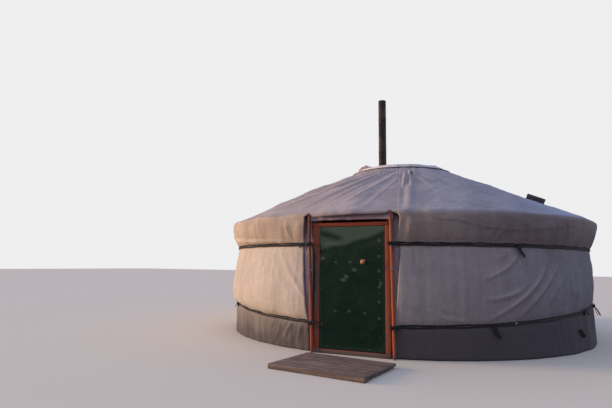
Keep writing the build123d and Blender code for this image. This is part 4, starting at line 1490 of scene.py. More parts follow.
@dataclass(frozen=True)
class Strap:
    """A double strap from one door post round the wall to the other, with knots and a loose tail."""

    name: str
    node: str
    height: Callable[[Array], Array]
    radius: float
    tail_bearing: float
    tail_lean: float
    seed: int
    band: float = 0.0215
    space: float = 0.0225
    thickness: float = 0.0035
    post_depth: float = 2.7908
    post_radius: float = 0.0192
    left_post: float = -0.5267
    right_post: float = 0.4841
    left_bearing: float = -12.9
    right_bearing: float = 11.9
    step: float = 0.7
    knot: float = 0.0175

    def run(self, lane: float) -> Array:
        """Middle line of one band from the right post round the wall to the left post.

        Args:
            lane: The band's height over the strap's middle.

        Returns:
            The points.
        """
        bearings = np.arange(self.right_bearing, 360.0 + self.left_bearing, self.step)
        random = np.random.default_rng(self.seed + int(1000 * lane + 50))
        waves = np.zeros(bearings.shape)
        for _ in range(3):
            waves += 0.0016 * np.sin(np.radians(bearings) * random.uniform(6, 40) + random.uniform(0, 6.3))
        wall = at(self.radius + 0.001 * np.sin(bearings), self.height(bearings) + lane + waves, bearings)
        wraps = []
        turns = np.linspace(-0.5 * math.pi, 2.5 * math.pi, 30)
        for x, side in ((self.right_post, 1), (self.left_post, -1)):
            height = self.height(0.0) + lane
            across, deep = self.post_radius * np.cos(turns), self.post_radius * np.sin(turns)
            heights = height + 0.004 * np.sin(2.3 * turns + x)
            ring = np.stack((x + side * across, deep - self.post_depth, heights), -1)
            wraps.append(np.vstack((ring, (x + side * 0.040, 0.030 - self.post_depth, height))))
        return np.vstack((wraps[0], wall, wraps[1][::-1]))

    def sweep(self, name: str, line: Array) -> Piece:
        """A flat band on edge along a line.

        Args:
            name: The piece's name.
            line: The band's middle line.

        Returns:
            The piece.
        """
        ways = unit(np.gradient(line, axis=0))
        out = unit(np.cross(ways, (0.0, 0.0, 1.0)))
        up = np.cross(out, ways)
        half, thin = self.band / 2, self.thickness / 2
        corners = ((-thin, -half), (thin, -half), (1.25 * thin, 0.0), (thin, half), (-thin, half))
        return ringed(name, np.stack([line + a * out + b * up for a, b in corners], 1))

    def tail(self, name: str, bearing: float, lean: float, length: float) -> Piece:
        """A loose end that hangs over the canvas below.

        Args:
            name: The piece's name.
            bearing: Where it leaves the strap.
            lean: How far it drifts to the right as it falls, in metres.
            length: Its length in metres.

        Returns:
            The piece.
        """
        share = np.linspace(0.0, 1.0, 14)
        drift = np.degrees(lean * (share ** 1.1 + 0.05 * np.sin(7 * share)) / self.radius)
        bulge = 0.010 + 0.034 * np.sin(0.5 * math.pi * share) + 0.006 * np.sin(9 * share)
        line = at(self.radius + bulge, self.height(bearing) + 0.012 - length * share, bearing + drift)
        out = at(1.0, 0.0, bearing)
        side = np.cross(unit(np.gradient(line, axis=0)), out)
        half, thin = 0.0155, 0.0025
        corners = ((-half, -thin), (half, -thin), (half, thin), (0.0, 1.6 * thin), (-half, thin))
        return ringed(name, np.stack([line + a * side + b * out for a, b in corners], 1))

    def knot_at(self, name: str, place: Sequence[float], size: float, turn: float) -> Piece:
        """A pulled-tight knot.

        Args:
            name: The piece's name.
            place: Its middle.
            size: Its radius in metres.
            turn: How it is turned about the upright axis, in radians.

        Returns:
            The piece.
        """
        t = np.linspace(0.0, FULL_TURN, 56)
        loop = (np.sin(t) + 2 * np.sin(2 * t), -0.8 * np.sin(3 * t), np.cos(t) - 2 * np.cos(2 * t))
        spun = np.stack(loop, -1) * size / 3.0 @ np.array(Matrix.Rotation(turn, 3, "Z")).T
        return tube(name, spun + np.array(place), 0.36 * size, 7)

    def build(self, finish: Finish) -> Piece:
        """Build the strap with its knots, tails and loose ends.

        Args:
            finish: The webbing.

        Returns:
            The piece.
        """
        parts = [self.sweep(f"{self.name}_band", self.run(lane)) for lane in (-self.space / 2, self.space / 2)]
        high, front = self.height(0.0), -self.post_depth - self.post_radius
        for x, y, z, turn in (
            (self.right_post - 0.020, -0.004, -0.004, 0.4), (self.right_post + 0.030, 0.018, 0.002, 1.3),
            (self.left_post + 0.026, 0.004, 0.004, 2.2), (self.left_post - 0.024, 0.012, -0.012, 0.9),
        ):
            parts.append(self.knot_at(f"{self.name}_knot", (x, front + y, high + z), self.knot, turn))
        parts.append(self.tail(f"{self.name}_tail", self.tail_bearing, self.tail_lean, 0.155))
        parts.append(self.tail(f"{self.name}_tail_under", self.tail_bearing - 0.35, 0.7 * self.tail_lean, 0.120))
        there = at(self.radius + 0.008, self.height(self.tail_bearing), self.tail_bearing - 0.2)
        parts.append(self.knot_at(f"{self.name}_tail_knot", there, 0.016, 1.8))
        share = np.linspace(0.0, 1.0, 9)
        for side, x in ((1, self.right_post), (-1, self.left_post)):
            end = np.stack((x + side * (0.016 + 0.012 * share), front - 0.006 - 0.012 * np.sin(3 * share),
                            high - 0.01 - 0.085 * share), -1)
            parts.append(tube(f"{self.name}_end", end, 0.006, 6, 0.6))
        return dress(join(self.name, parts), finish, "strap_webbing", self.node)


@dataclass(frozen=True)
class Straps:
    """Both straps round the wall and the loose ends tied to them."""

    webbing: StrapFinish = StrapFinish("dark_webbing", (0.012, 0.013, 0.018), (0.055, 0.048, 0.046))
    cord: StrapFinish = StrapFinish("pale_cord", (0.38, 0.36, 0.36), (0.55, 0.52, 0.50))
    upper: Strap = Strap(
        "upper_strap_bands", "upper_strap", lambda bearing: 1.29 + 0.0 * bearing, 2.7730, 40.6, 0.050, 200
    )
    lower: Strap = Strap(
        "lower_strap_bands", "lower_strap", low_strap, 2.7620, 33.4, 0.055, 210,
        left_post=-0.4966, right_post=0.5023,
    )

    def build(self) -> list[Piece]:
        """Build the straps and the knots on them."""
        bands = [strap.build(self.webbing) for strap in (self.upper, self.lower)]
        return [*bands, self.far_end(), self.pale_knots()]

    def far_end(self) -> Piece:
        """Knots and loose ends at the far left and right of the wall, and one by the left post.

        Returns:
            The piece.
        """
        random = np.random.default_rng(9)
        parts = []
        for bearing, strap, fall in (
            (-52.0, self.lower, 0.05), (-54.0, self.lower, 0.08), (67.0, self.lower, 0.06),
            (80.5, self.lower, 0.17), (-14.5, self.upper, 0.05),
        ):
            place = at(strap.radius + 0.012, strap.height(bearing) - 0.018, bearing)
            parts.append(strap.knot_at("far_knot", place, 0.020, random.uniform(0, 3)))
            parts.append(strap.tail("far_tail", bearing + 0.5, random.uniform(-0.02, 0.05), fall))
        share = np.linspace(0.0, 1.0, 14)
        hook = at(2.774 + 0.075 * share, 0.505 - 0.02 * share - 0.09 * share ** 2, 81.0 - 0.8 * share)
        parts.append(tube("far_hook", hook, 0.011, 8, 0.7))
        for i, place in enumerate(((2.795, 0.262, 62.5), (2.806, 0.232, 63.1), (2.800, 0.204, 64.0))):
            parts.append(self.lower.knot_at("foot_rag", at(*place), 0.021, 0.5 + i))
        return dress(join("strap_ends", parts), self.webbing, "strap_webbing")

    def pale_knots(self) -> Piece:
        """Small pale cord lashings on the posts and over the lower strap's crossing.

        Returns:
            The piece.
        """
        parts = []
        t = np.linspace(0.0, FULL_TURN, 21)
        deep = self.upper.post_depth
        for x, z in ((-0.5163, 0.962), (0.4898, 0.996)):
            for turn in range(3):
                ring = np.stack((x + 0.0195 * np.cos(t), 0.0195 * np.sin(t) - deep,
                                 z + 0.007 * turn + 0.003 * np.sin(t)), -1)
                parts.append(tube("pale_turn", ring, 0.0032, 6))
            parts.append(self.upper.knot_at("pale_knot", (x - 0.006, -deep - 0.022, z + 0.006), 0.010, 0.6))
        parts.append(self.upper.knot_at("pale_crossing", at(2.770, low_strap(39.3) + 0.004, 39.3), 0.013, 2.6))
        return dress(join("pale_lashings", parts), self.cord, "strap_webbing")


# Crown with its cover and pipe


@dataclass(frozen=True)
class Crown:
    """The crown wheel, the cloth over it, and the rolled-back edge beside the pipe."""

    cover: CanvasFinish = CanvasFinish(
        "cover_linen", (0.86, 0.80, 0.78), (0.80, 0.78, 0.80), (0.34, 0.28, 0.27), stain=0.15
    )
    # A darker copy of the cover's linen: painted shade on the rolled edge.
    roll: CanvasFinish = CanvasFinish(
        "rolled_linen", (0.38, 0.32, 0.32), (0.34, 0.30, 0.32), (0.22, 0.17, 0.16), stain=0.5
    )
    hem: StrapFinish = StrapFinish("hem_rope", (0.05, 0.045, 0.045), (0.16, 0.13, 0.12))
    paint: WoodFinish = WoodFinish(
        "crown_wood", Axis.X, (0.42, 0.26, 0.15), (0.24, 0.13, 0.07), (0.55, 0.16, 0.07)
    )
    first: float = 3.0
    last: float = 247.0
    ring_radius: float = 0.735
    ring_top: float = 2.6345
    dome: float = 0.105
    hang_radius: float = 0.83
    row: float = 0.016
    slope: float = 0.445
    band_profile: tuple[Pair, ...] = (
        (0.690, 0.004), (0.715, 0.012), (0.736, 0.014), (0.748, 0.004), (0.757, -0.012), (0.773, -0.026),
        (0.796, -0.040), (0.820, -0.052), (0.842, -0.062),
    )

    def cover_line(self) -> list[Pair]:
        """Profile of the cover's outer face, from its hem on the roof to the hub.

        Returns:
            Radii and heights.
        """
        foot = self.ring_radius - 0.08
        bow = (foot * foot + self.dome * self.dome) / (2 * self.dome)
        line = [
            (self.hang_radius, 2.614 - self.slope * (self.hang_radius - 0.748)), (0.785, 2.598), (0.757, 2.618),
            (self.ring_radius - 0.005, self.ring_top + 0.016), (foot + 0.02, self.ring_top + 0.019),
        ]
        for radius in (share * foot for share in (0.86, 0.7, 0.5, 0.3, 0.15)):
            fall = bow - math.sqrt(bow * bow - radius * radius)
            line.append((radius, self.ring_top + self.dome - fall + 0.022))
        return line

    def cover_cloth(self) -> Piece:
        """The cloth over the right and back of the crown, which sags a little between the spokes.

        Returns:
            The piece.
        """
        points, _ = curve_through(self.cover_line(), self.row)
        bearings, rows = np.meshgrid(np.linspace(self.first, self.last, 200), np.arange(len(points)))
        radius, height = points[rows, 0], points[rows, 1]
        across = np.radians(bearings) * radius
        sag = 0.010 * (1 - np.abs(np.cos(np.radians(bearings - 22.5) * 4))) * bump_at(radius, 0.42, 0.20)
        hang = smooth_step(radius, 0.70, 0.80)
        lift = 0.006 * ripples(across, radius, 300, (0.08, 0.5), 0.0, 30.0) * (0.3 + 0.7 * hang)
        lift += 0.012 * hang * (pleats(np.radians(bearings) * 0.78, 301, 0.11, 1.5) - 0.2)
        lift += 0.016 * bump_at(bearings, 60.0, 3.5) * bump_at(radius, 0.77, 0.06)
        ragged = 0.020 * ripples(np.radians(bearings) * 0.8, 0 * radius, 302, (0.15, 0.9), 0.0, 1.0)
        reach = ragged * smooth_step(radius, 0.76, 0.83)
        radius = radius + reach + 0.25 * np.maximum(lift, -0.002)
        height = height - sag - self.slope * reach + np.maximum(lift, -0.003)
        spots = 0.12 * ripples(across, radius, 303, (0.1, 0.6), 0, 90)
        tone_marks = np.clip(0.35 * bump_at(radius, 0.80, 0.03) + spots, 0, 0.6)
        flat = np.stack((across, rows * self.row), -1)
        cloth = Cloth(at(radius, height, bearings)[::-1], flat[::-1], tone_marks[::-1])
        piece = dress(cloth.build("crown_cover_cloth", 0.003), self.cover, "cover_cloth", "crown_cover")
        return piece

    def hem_rope(self) -> Piece:
        """The dark rope in the cover's hem, which lies on the roof canvas.

        Returns:
            The piece.
        """
        bearings = np.linspace(-84.0, 246.0, 320)
        turn = np.radians(bearings)
        radius = 0.840 + 0.006 * np.sin(turn * 3.1) + 0.006 * np.sin(turn * 11.0)
        line = at(radius, 2.622 - 0.448 * (radius - 0.752), bearings)
        return dress(tube("cover_hem_rope", line, 0.0085), self.hem, "cover_cloth")

    def front_band(self) -> Piece:
        """The pale cloth wound over the ring's front left, from the roll to the cover.

        Returns:
            The piece.
        """
        bearings, rows = np.meshgrid(np.linspace(-84.0, 9.0, 90), np.arange(9))
        profile = np.array(self.band_profile)[rows]
        across = np.radians(bearings) * 0.75
        wave = 0.0025 * (1 + ripples(across, rows * 0.01, 310, (0.06, 0.4), 10.0, 20.0))
        points = at(profile[..., 0] + wave, self.ring_top + profile[..., 1] + 0.5 * wave, bearings)
        tone_marks = 0.15 * smooth_step(rows * 1.0, 6.0, 8.0) - 0.4
        cloth = Cloth(points, np.stack((across, -rows * 0.012), -1), tone_marks)
        piece = dress(cloth.build("crown_front_band", 0.002), self.cover, "cover_cloth")
        return piece

    def rolled_edge(self) -> Piece:
        """The part of the cover that is rolled back left of the pipe, lumpy and loosely bound.

        Returns:
            The piece.
        """
        bearings = np.linspace(-70.0, -32.0, 60)
        share = ((bearings - bearings[0]) / (bearings[-1] - bearings[0]))[:, None]
        ends = np.clip(np.sin(math.pi * np.clip(share, 0.02, 0.98)) ** 0.35, 0.25, 1.0)
        thick = 0.030 * ends * (1.0 + 0.16 * np.sin(share * 19.0) + 0.10 * np.sin(share * 43.0 + 1))
        height = self.ring_top + 0.014 + 0.94 * thick
        middle = at(0.700 + 0.014 * np.sin(share * 9.0), height, bearings[:, None])
        turns = np.linspace(0.0, FULL_TURN, 20, endpoint=False)
        size = (thick * (1.0 + 0.07 * np.cos(5 * turns + 8 * share) + 0.04 * np.cos(11 * turns)))[..., None]
        out = at(1.25, 0.0, bearings[:, None])
        rise = np.sin(turns) * np.where(np.sin(turns) < 0, 0.92, 1.0)
        rings = middle + size * (np.cos(turns)[:, None] * out + rise[:, None] * np.array((0.0, 0.0, 1.0)))
        rings[..., 2] = np.maximum(rings[..., 2], self.ring_top + 0.002)
        piece = dress(ringed("rolled_cover", rings), self.roll, "cover_cloth", "crown_cover_roll")
        return piece

    def build(self) -> list[Piece]:
        """Build the crown's dress, and give its wooden nodes their paint.

        Returns:
            The pieces.
        """
        nodes = ("crown_ring", "crown_spokes", "crown_post_left", "crown_post_right")
        painted = [coat(bpy.data.objects[node], self.paint) for node in nodes]
        return [self.cover_cloth(), self.front_band(), self.hem_rope(), self.rolled_edge(), *painted]


@dataclass(frozen=True)
class StovePipe:
    """The stove pipe of rolled sheet in sections, with beads at the joints and a seam."""

    steel: MetalFinish = MetalFinish(
        "sooty_steel", (0.040, 0.028, 0.024), (0.016, 0.013, 0.014), (0.085, 0.038, 0.022)
    )
    tin: MetalFinish = MetalFinish("dull_tin", (0.34, 0.31, 0.30), (0.20, 0.18, 0.17), (0.16, 0.08, 0.05), 0.66)
    wall: float = 0.0022
    joint: float = 0.024
    joints: Pair = (2.95, 3.50)

    def middle(self) -> Pair:
        """Place of the pipe's axis, seen from above."""
        low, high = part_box("chimney_pipe")
        return (low.x + high.x) / 2, (low.y + high.y) / 2

    def shell(self, low: float, high: float, radius: float) -> Piece:
        """One open length of pipe.

        Args:
            low: Height of its lower end.
            high: Height of its upper end.
            radius: Its outer radius.

        Returns:
            The piece.
        """
        piece = primitive(
            bpy.ops.mesh.primitive_cylinder_add, vertices=48, radius=radius, depth=high - low,
            end_fill_type="NOTHING", location=(*self.middle(), (low + high) / 2),
        )
        modify(piece, "SOLIDIFY", thickness=self.wall, offset=-1.0)
        return shade_smooth(bevelled(piece, 0.0006, 60.0), 40.0)

    def bead(self, height: float, radius: float, thick: float) -> Piece:
        """A rolled bead round the pipe.

        Args:
            height: Its height.
            radius: Its radius round the pipe's axis.
            thick: Its own radius.

        Returns:
            The piece.
        """
        piece = primitive(
            bpy.ops.mesh.primitive_torus_add, location=(*self.middle(), height), major_radius=radius,
            minor_radius=thick, major_segments=48, minor_segments=8,
        )
        return shade_smooth(piece, 60.0)

    def build(self) -> list[Piece]:
        """Build the pipe, its joints and the plate that it comes through.

        Returns:
            The pieces.
        """
        low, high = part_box("chimney_pipe")
        x, y = self.middle()
        radius = (high.x - low.x) / 2
        parts = [self.shell(low.z, high.z, radius)]
        for height in self.joints:
            parts.append(self.shell(height - self.joint, height + self.joint, radius + 0.0016))
            parts.append(self.bead(height + self.joint, radius + 0.0010, 0.0022))
            parts.append(self.bead(height - self.joint, radius + 0.0010, 0.0022))
        parts.append(self.bead(high.z - 0.003, radius - 0.0005, 0.0028))
        seam = primitive(
            bpy.ops.mesh.primitive_cube_add, (0.0035, 0.014, high.z - low.z - 0.006), size=1,
            location=(x + radius, y, (low.z + high.z) / 2),
        )
        parts.append(bevelled(seam, 0.0012, 30.0))
        pipe = dress(join("stove_pipe", parts), self.steel, "pipe_steel", "chimney_pipe")
        return [pipe, self.plate(radius)]

    def plate(self, radius: float) -> Piece:
        """The tin plate in the crown and a loose ring of bright tin round the pipe's foot.

        Args:
            radius: The pipe's outer radius.

        Returns:
            The piece.
        """
        plate = worn_copy("pipe_plate", "pipe_plate_tin", 0.001)
        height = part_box("crown_ring")[1].z
        ring = self.shell(height - 0.03, height + 0.060, radius + 0.009)
        bead = self.bead(height + 0.060, radius + 0.008, 0.0035)
        return dress(join("pipe_plate_tin", [plate, ring, bead]), self.tin, "tin_sheet", "pipe_plate")


# Door, its frame, the posts and the cloth beside them


@dataclass(frozen=True)
class DoorLeaf:
    """The boarded leaf with its dented metal sheet, nails, knob and hinges."""

    sheet: DoorPaintFinish = DoorPaintFinish()
    boards: WoodFinish = WoodFinish("old_boards", Axis.Z, (0.24, 0.15, 0.09), (0.12, 0.07, 0.04))
    nails: MetalFinish = MetalFinish(
        "nail_heads", (0.10, 0.13, 0.11), (0.05, 0.07, 0.06), (0.14, 0.08, 0.05), 0.60
    )
    knob: WoodFinish = WoodFinish(
        "knob_wood", Axis.Y, (0.84, 0.41, 0.21), (0.56, 0.24, 0.12), rough=0.42, bump=0.15
    )
    steel: MetalFinish = MetalFinish(
        "hinge_metal", (0.10, 0.040, 0.030), (0.045, 0.025, 0.022), (0.16, 0.05, 0.03), 0.56, 0.15
    )
    nail_radius: float = 0.0060
    nail_space: float = 0.125
    edge: float = 0.020
    hinge_edge: float = 0.066
    middle_nails: tuple[Pair, ...] = (
        (-0.196, 1.067), (-0.020, 1.069), (-0.202, 0.495), (-0.026, 0.503), (0.160, 0.489)
    )
    dents: tuple[tuple[float, ...], ...] = (
        (-0.05, 1.03, 0.05, 0.004), (-0.10, 0.96, 0.035, 0.003), (0.16, 0.62, 0.06, 0.003)
    )
    # Entries at the right column of nails and at the five middle nails are painted glints of light on the nail
    # heads; the other four are worn spots.
    scuffs_and_nail_glints: tuple[tuple[float, ...], ...] = (
        (0.036, 0.981, 0.024, 0.016), (-0.066, 0.899, 0.022, 0.016), (-0.105, 0.861, 0.030, 0.014),
        (-0.364, 1.115, 0.020, 0.016), (0.336, 1.325, 0.016, 0.012), (0.335, 1.143, 0.016, 0.010),
        (0.334, 0.970, 0.014, 0.010), (0.350, 0.830, 0.012, 0.022), (0.331, 0.791, 0.012, 0.012),
        (0.331, 0.620, 0.012, 0.012), (0.330, 0.437, 0.014, 0.012), (-0.196, 1.067, 0.013, 0.009),
        (-0.020, 1.069, 0.015, 0.010), (-0.202, 0.495, 0.015, 0.009), (-0.026, 0.503, 0.014, 0.009),
        (0.160, 0.489, 0.012, 0.009),
    )

    def dented_sheet(self) -> Piece:
        """The metal sheet, dented and buckled between its nails.

        Returns:
            The piece.
        """
        low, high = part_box("door_sheet")
        xs, zs = np.meshgrid(np.linspace(low.x, high.x, 64), np.linspace(high.z, low.z, 112))
        across, down = xs - low.x, high.z - zs
        rim = np.minimum.reduce((across, high.x - xs, down, zs - low.z))
        free = smooth_step(rim, 0.004, 0.11)
        lift = 0.0032 * free * ripples(across, down, 400, (0.25, 0.9), 60.0, 30.0)
        lift += 0.0011 * free * ripples(across, down, 401, (0.07, 0.2), 20.0, 60.0)
        for x, z, size, deep in self.dents:
            lift -= deep * bump_at(xs, x, size) * bump_at(zs, z, size)
        depth = low.y - 0.0004 - np.maximum(lift + 0.0012 * free, -0.0002)
        worn = 0.25 * np.exp(-rim / 0.010) + 0.10 * np.exp(-(zs - low.z) / 0.08)
        # worn spots, and painted glints at the nail heads
        for x, z, wide, tall in self.scuffs_and_nail_glints:
            worn += 0.9 * bump_at(xs, x, wide) * bump_at(zs, z, tall)
        # wear together with the painted glints and the painted reflection of the sky
        tone_marks = np.clip(worn + self.painted_sky_reflection(xs, zs), 0, 1)
        cloth = Cloth(np.stack((xs, depth, zs), -1), np.stack((across, -down), -1), tone_marks)
        metal = cloth.build("door_sheet_metal", 0.0016)
        return dress(metal, self.sheet, "door_green", "door_sheet", body=Body.DOOR)

    def painted_sky_reflection(self, x: Array, z: Array) -> Array:
        """How pale a painted reflection of the sky makes the paint: pale at the top, with a wavy lower edge and a
        darker pool at the left.

        Args:
            x: Places across the sheet.
            z: Heights.

        Returns:
            The painted reflection, from 0 to about 0.8.
        """
        share = np.clip((x + 0.4) / 0.8, 0.0, 1.0)
        edge = 1.212 + 0.195 * share ** 1.5 + 0.006 * np.sin(21 * x)
        pool = np.exp(-((x + 0.275) / 0.165) ** 4 - ((z - 1.383 + 0.28 * (x + 0.26)) / 0.043) ** 2)
        sides = bump_at(share, 0.05, 0.2) + bump_at(share, 0.9, 0.25)
        haze = 0.09 * bump_at(z, 1.13 + 0.20 * share, 0.05) * sides
        lobe = 0.16 * bump_at(z, edge + 0.050, 0.028) * bump_at(share, 0.15, 0.25)
        return (0.62 * smooth_step(z - edge, -0.005, 0.060) + lobe) * (1 - 0.96 * pool) + haze

    def nail_heads(self) -> Piece:
        """Nail heads along the edges and in two short rows.

        Returns:
            The piece.
        """
        low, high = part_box("door_sheet")
        random = np.random.default_rng(4)
        places = []
        for z in np.arange(low.z + 0.05, high.z - 0.02, self.nail_space):
            for x in (low.x + self.edge, high.x - self.hinge_edge):
                places.append((x + random.uniform(-0.006, 0.006), z + random.uniform(-0.018, 0.018)))
        for x in np.arange(low.x + 0.11, high.x - 0.08, self.nail_space):
            places += [(x, low.z + self.edge), (x + 0.01, high.z - self.edge)]
        parts = [
            primitive(
                bpy.ops.mesh.primitive_uv_sphere_add, (1.0, 0.42, 1.0), segments=10, ring_count=6,
                radius=self.nail_radius, location=(x, low.y - 0.0012, z),
            )
            for x, z in (*places, *self.middle_nails)
        ]
        heads = shade_smooth(join("door_nail_heads", parts), 60.0)
        return dress(heads, self.nails, "door_green", body=Body.DOOR)

    def round_knob(self) -> Piece:
        """The turned wooden knob on its neck and rose.

        Returns:
            The piece.
        """
        low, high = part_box("door_knob")
        x, z = (low.x + high.x) / 2, (low.z + high.z) / 2
        radius = (high.z - low.z) / 2
        forward = (math.radians(90), 0, 0)
        parts = [primitive(
            bpy.ops.mesh.primitive_uv_sphere_add, segments=40, ring_count=20, radius=radius,
            location=(x, low.y + radius, z), rotation=forward,
        )]
        for size, start in ((radius * 0.36, low.y + radius), (radius * 0.92, high.y - 0.004)):
            disc = primitive(
                bpy.ops.mesh.primitive_cylinder_add, vertices=36, radius=size, depth=high.y - start,
                location=(x, (start + high.y) / 2, z), rotation=forward,
            )
            parts.append(bevelled(disc, 0.0012, 50.0))
        knob = shade_smooth(join("round_knob", parts), 45.0)
        return dress(knob, self.knob, "knob", "door_knob", body=Body.DOOR)

    def build(self) -> list[Piece]:
        """Build the leaf's dress.

        Returns:
            The pieces.
        """
        leaf = worn_copy("door_leaf", "door_boards_worn", 0.0015)
        made = [dress(leaf, self.boards, "door_boards", "door_leaf", body=Body.DOOR)]
        for node, body in (("hinge_leaf_side", Body.DOOR), ("hinge_frame_side", Body.YURT)):
            hinge = worn_copy(node, f"{node}_worn", 0.0005)
            made.append(dress(hinge, self.steel, "hinge_steel", node, body=body))
        return made + [self.dented_sheet(), self.nail_heads(), self.round_knob()]


@dataclass(frozen=True)
class DoorFrame:
    """The painted frame, the round posts, the cloth that closes the gaps beside and over it, and a dark strip of
    painted shade in the gap beside the left post.
    """

    jamb: WoodFinish = WoodFinish(
        "jamb_red", Axis.Z, (0.20, 0.12, 0.08), (0.10, 0.05, 0.035), (0.39, 0.080, 0.040), 0.25
    )
    sill: WoodFinish = WoodFinish(
        "sill_worn", Axis.X, (0.24, 0.18, 0.14), (0.10, 0.07, 0.055), (0.19, 0.14, 0.115), 0.2,
        upper=(0.39, 0.080, 0.040), upper_from=0.033, upper_blend=0.010,
    )
    lintel: WoodFinish = WoodFinish(
        "lintel_red", Axis.X, (0.22, 0.12, 0.07), (0.12, 0.05, 0.03), (0.36, 0.056, 0.026), 0.15
    )
    left_post: WoodFinish = WoodFinish(
        "left_post_paint", Axis.Z, (0.42, 0.20, 0.10), (0.13, 0.045, 0.025), (0.58, 0.105, 0.028), 0.25,
        upper=(0.17, 0.050, 0.030), upper_from=0.80,
    )
    right_post: WoodFinish = WoodFinish(
        "right_post_paint", Axis.Z, (0.46, 0.22, 0.10), (0.15, 0.05, 0.03), (0.52, 0.125, 0.036), 0.30
    )
    cloth: CanvasFinish = CanvasFinish(
        "lining_cloth", (0.44, 0.33, 0.46), (0.38, 0.31, 0.48), (0.20, 0.16, 0.19), stain=0.4
    )
    # A lighter copy of the lining cloth: painted light in the shaded recess beside the left post and on the
    # valance under the roof's hem.
    side: CanvasFinish = CanvasFinish(
        "side_cloth", (0.76, 0.62, 0.76), (0.68, 0.58, 0.75), (0.26, 0.20, 0.24), stain=0.3
    )
    # Dark cloth of the draught flap, also used for the strip of painted shade in the gap between the left post
    # and the jamb.
    flap: CanvasFinish = CanvasFinish(
        "flap_cloth", (0.19, 0.155, 0.14), (0.15, 0.13, 0.13), (0.022, 0.018, 0.018)
    )
    timber_wear: Triple = (0.0035, 0.0007, 0.07)
    post_wear: Triple = (0.003, 0.0016, 0.035)
    shorter: float = 0.018
    post_height: float = 1.658
    flap_edge: tuple[Pair, ...] = (
        (0.05, -0.4690), (0.2825, -0.4600), (0.444, -0.4490), (0.606, -0.4340), (0.769, -0.4210),
        (0.933, -0.4190), (1.098, -0.4370), (1.264, -0.4850),
    )

    def timbers(self) -> list[Piece]:
        """Worn copies of the frame's timbers and of the round posts, which aren't quite even.

        Returns:
            The pieces.
        """
        made = []
        for node, finish, slot, wear in (
            ("door_jamb_left", self.jamb, "jamb_paint", self.timber_wear),
            ("door_jamb_right", self.jamb, "jamb_paint", self.timber_wear),
            ("door_threshold", self.sill, "jamb_paint", self.timber_wear),
            ("door_lintel", self.lintel, "lintel_paint", self.timber_wear),
            ("door_post_left", self.left_post, "post_paint", self.post_wear),
            ("door_post_right", self.right_post, "post_paint", self.post_wear),
        ):
            piece = worn_copy(node, f"{node}_worn", *wear)
            if node == "door_post_left":
                for vertex in piece.data.vertices:
                    vertex.co.z *= 1.0 - self.shorter / self.post_height
            made.append(dress(piece, finish, slot, node))
        return made

    def valance(self) -> Piece:
        """The gathered strip of cloth between the lintel and the hem of the roof.

        Returns:
            The piece.
        """
        low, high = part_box("door_valance")
        xs, zs = np.meshgrid(np.linspace(-0.545, 0.505, 96), np.linspace(high.z, low.z, 12))
        down = (high.z - zs) / (high.z - low.z)
        wave = 0.004 * ripples(xs, zs, 500, (0.08, 0.4), 5.0, 10.0) + 0.003 * pleats(xs, 501, 0.07, 1.4)
        drop = 0.006 * ripples(xs, 0 * xs, 502, (0.2, 0.9), 0.0, 1.0) * down
        points = np.stack((xs, low.y + 0.001 - wave * (0.3 + 0.7 * down), zs + drop), -1)
        cloth = Cloth(points, np.stack((xs, zs), -1), 0.25 * down)
        # the lighter copy of the lining cloth: painted light under the roof's hem
        piece = dress(cloth.build("valance_cloth", 0.002), self.side, "valance_cloth", "door_valance")
        return piece

    def lining(self, name: str, edges: Pair, high: float, seed: int, finish: Finish, radius: float,
               slack: float) -> Piece:
        """A strip of inner cloth that shows beside a post; the dark strip in the gap by the left post is painted
        shade.

        Args:
            name: The piece's name.
            edges: Bearings of its left and right edges.
            high: Height of its upper edge.
            seed: Chooses its folds.
            finish: Its cloth.
            radius: Its distance from the yurt's axis.
            slack: How deep its folds are.

        Returns:
            The piece.
        """
        foot = 0.02
        bearings, heights = np.meshgrid(np.linspace(*edges, 14), np.linspace(high, foot, 76))
        across = np.radians(bearings) * radius
        wave = slack * (0.5 + 0.5 * np.sin(across * 95 + 2.0 * np.sin(heights * 3.0 + seed)))
        wave += 0.25 * slack * ripples(across, heights, seed, (0.05, 0.3), 20.0, 30.0)
        points = at(radius + np.maximum(wave, 0.0), heights, bearings)
        cloth = Cloth(points, np.stack((across, heights), -1), 0.4 * np.exp(-heights / 0.2))
        piece = dress(cloth.build(name, 0.002), finish, "valance_cloth")
        return piece

    def draught_flap(self) -> Piece:
        """The dark cloth that laps from behind the left post over the jamb, with a curved free edge.

        Returns:
            The piece.
        """
        places, edges = np.array(self.flap_edge).T
        shares, heights = np.meshgrid(np.linspace(0.0, 1.0, 10), np.linspace(1.262, 0.056, 64))
        start = -0.4900
        x = start + shares * (np.interp(heights, places, edges) - start)
        wave = 0.0018 * (1 + ripples(x, heights, 512, (0.03, 0.3), 30.0, 40.0)) * shares
        points = np.stack((x, -2.7725 - np.maximum(wave, 0.0) - 0.0015 * shares, heights), -1)
        # painted shadow: near black on the side behind the post, where the gap lies in shade; also darker towards
        # the top
        tone_marks = 0.95 * smooth_step(-shares, -0.75, -0.30) + 0.5 * smooth_step(heights, 1.0, 1.2)
        cloth = Cloth(points, np.stack((x, heights), -1), tone_marks)
        piece = dress(cloth.build("draught_flap", 0.0015), self.flap, "valance_cloth")
        return piece

    def build(self) -> list[Piece]:
        """Build the frame, the posts and the cloth beside them.

        Returns:
            The pieces.
        """
        return [
            *self.timbers(), self.valance(),
            self.lining("lining_right", (9.72, 12.8), 1.63, 510, self.cloth, 2.7475, 0.006),
            # the lighter copy of the lining cloth: painted light in the shaded recess by the left post
            self.lining("lining_left", (-14.6, -10.95), 1.63, 511, self.side, 2.7475, 0.006),
            # dark strip of painted shade in the gap between the left post and the jamb
            self.lining("lining_gap", (-11.3, -9.75), 1.60, 513, self.flap, 2.7515, 0.004),
            self.draught_flap(),
        ]


# Step, roof block and the wooden inside


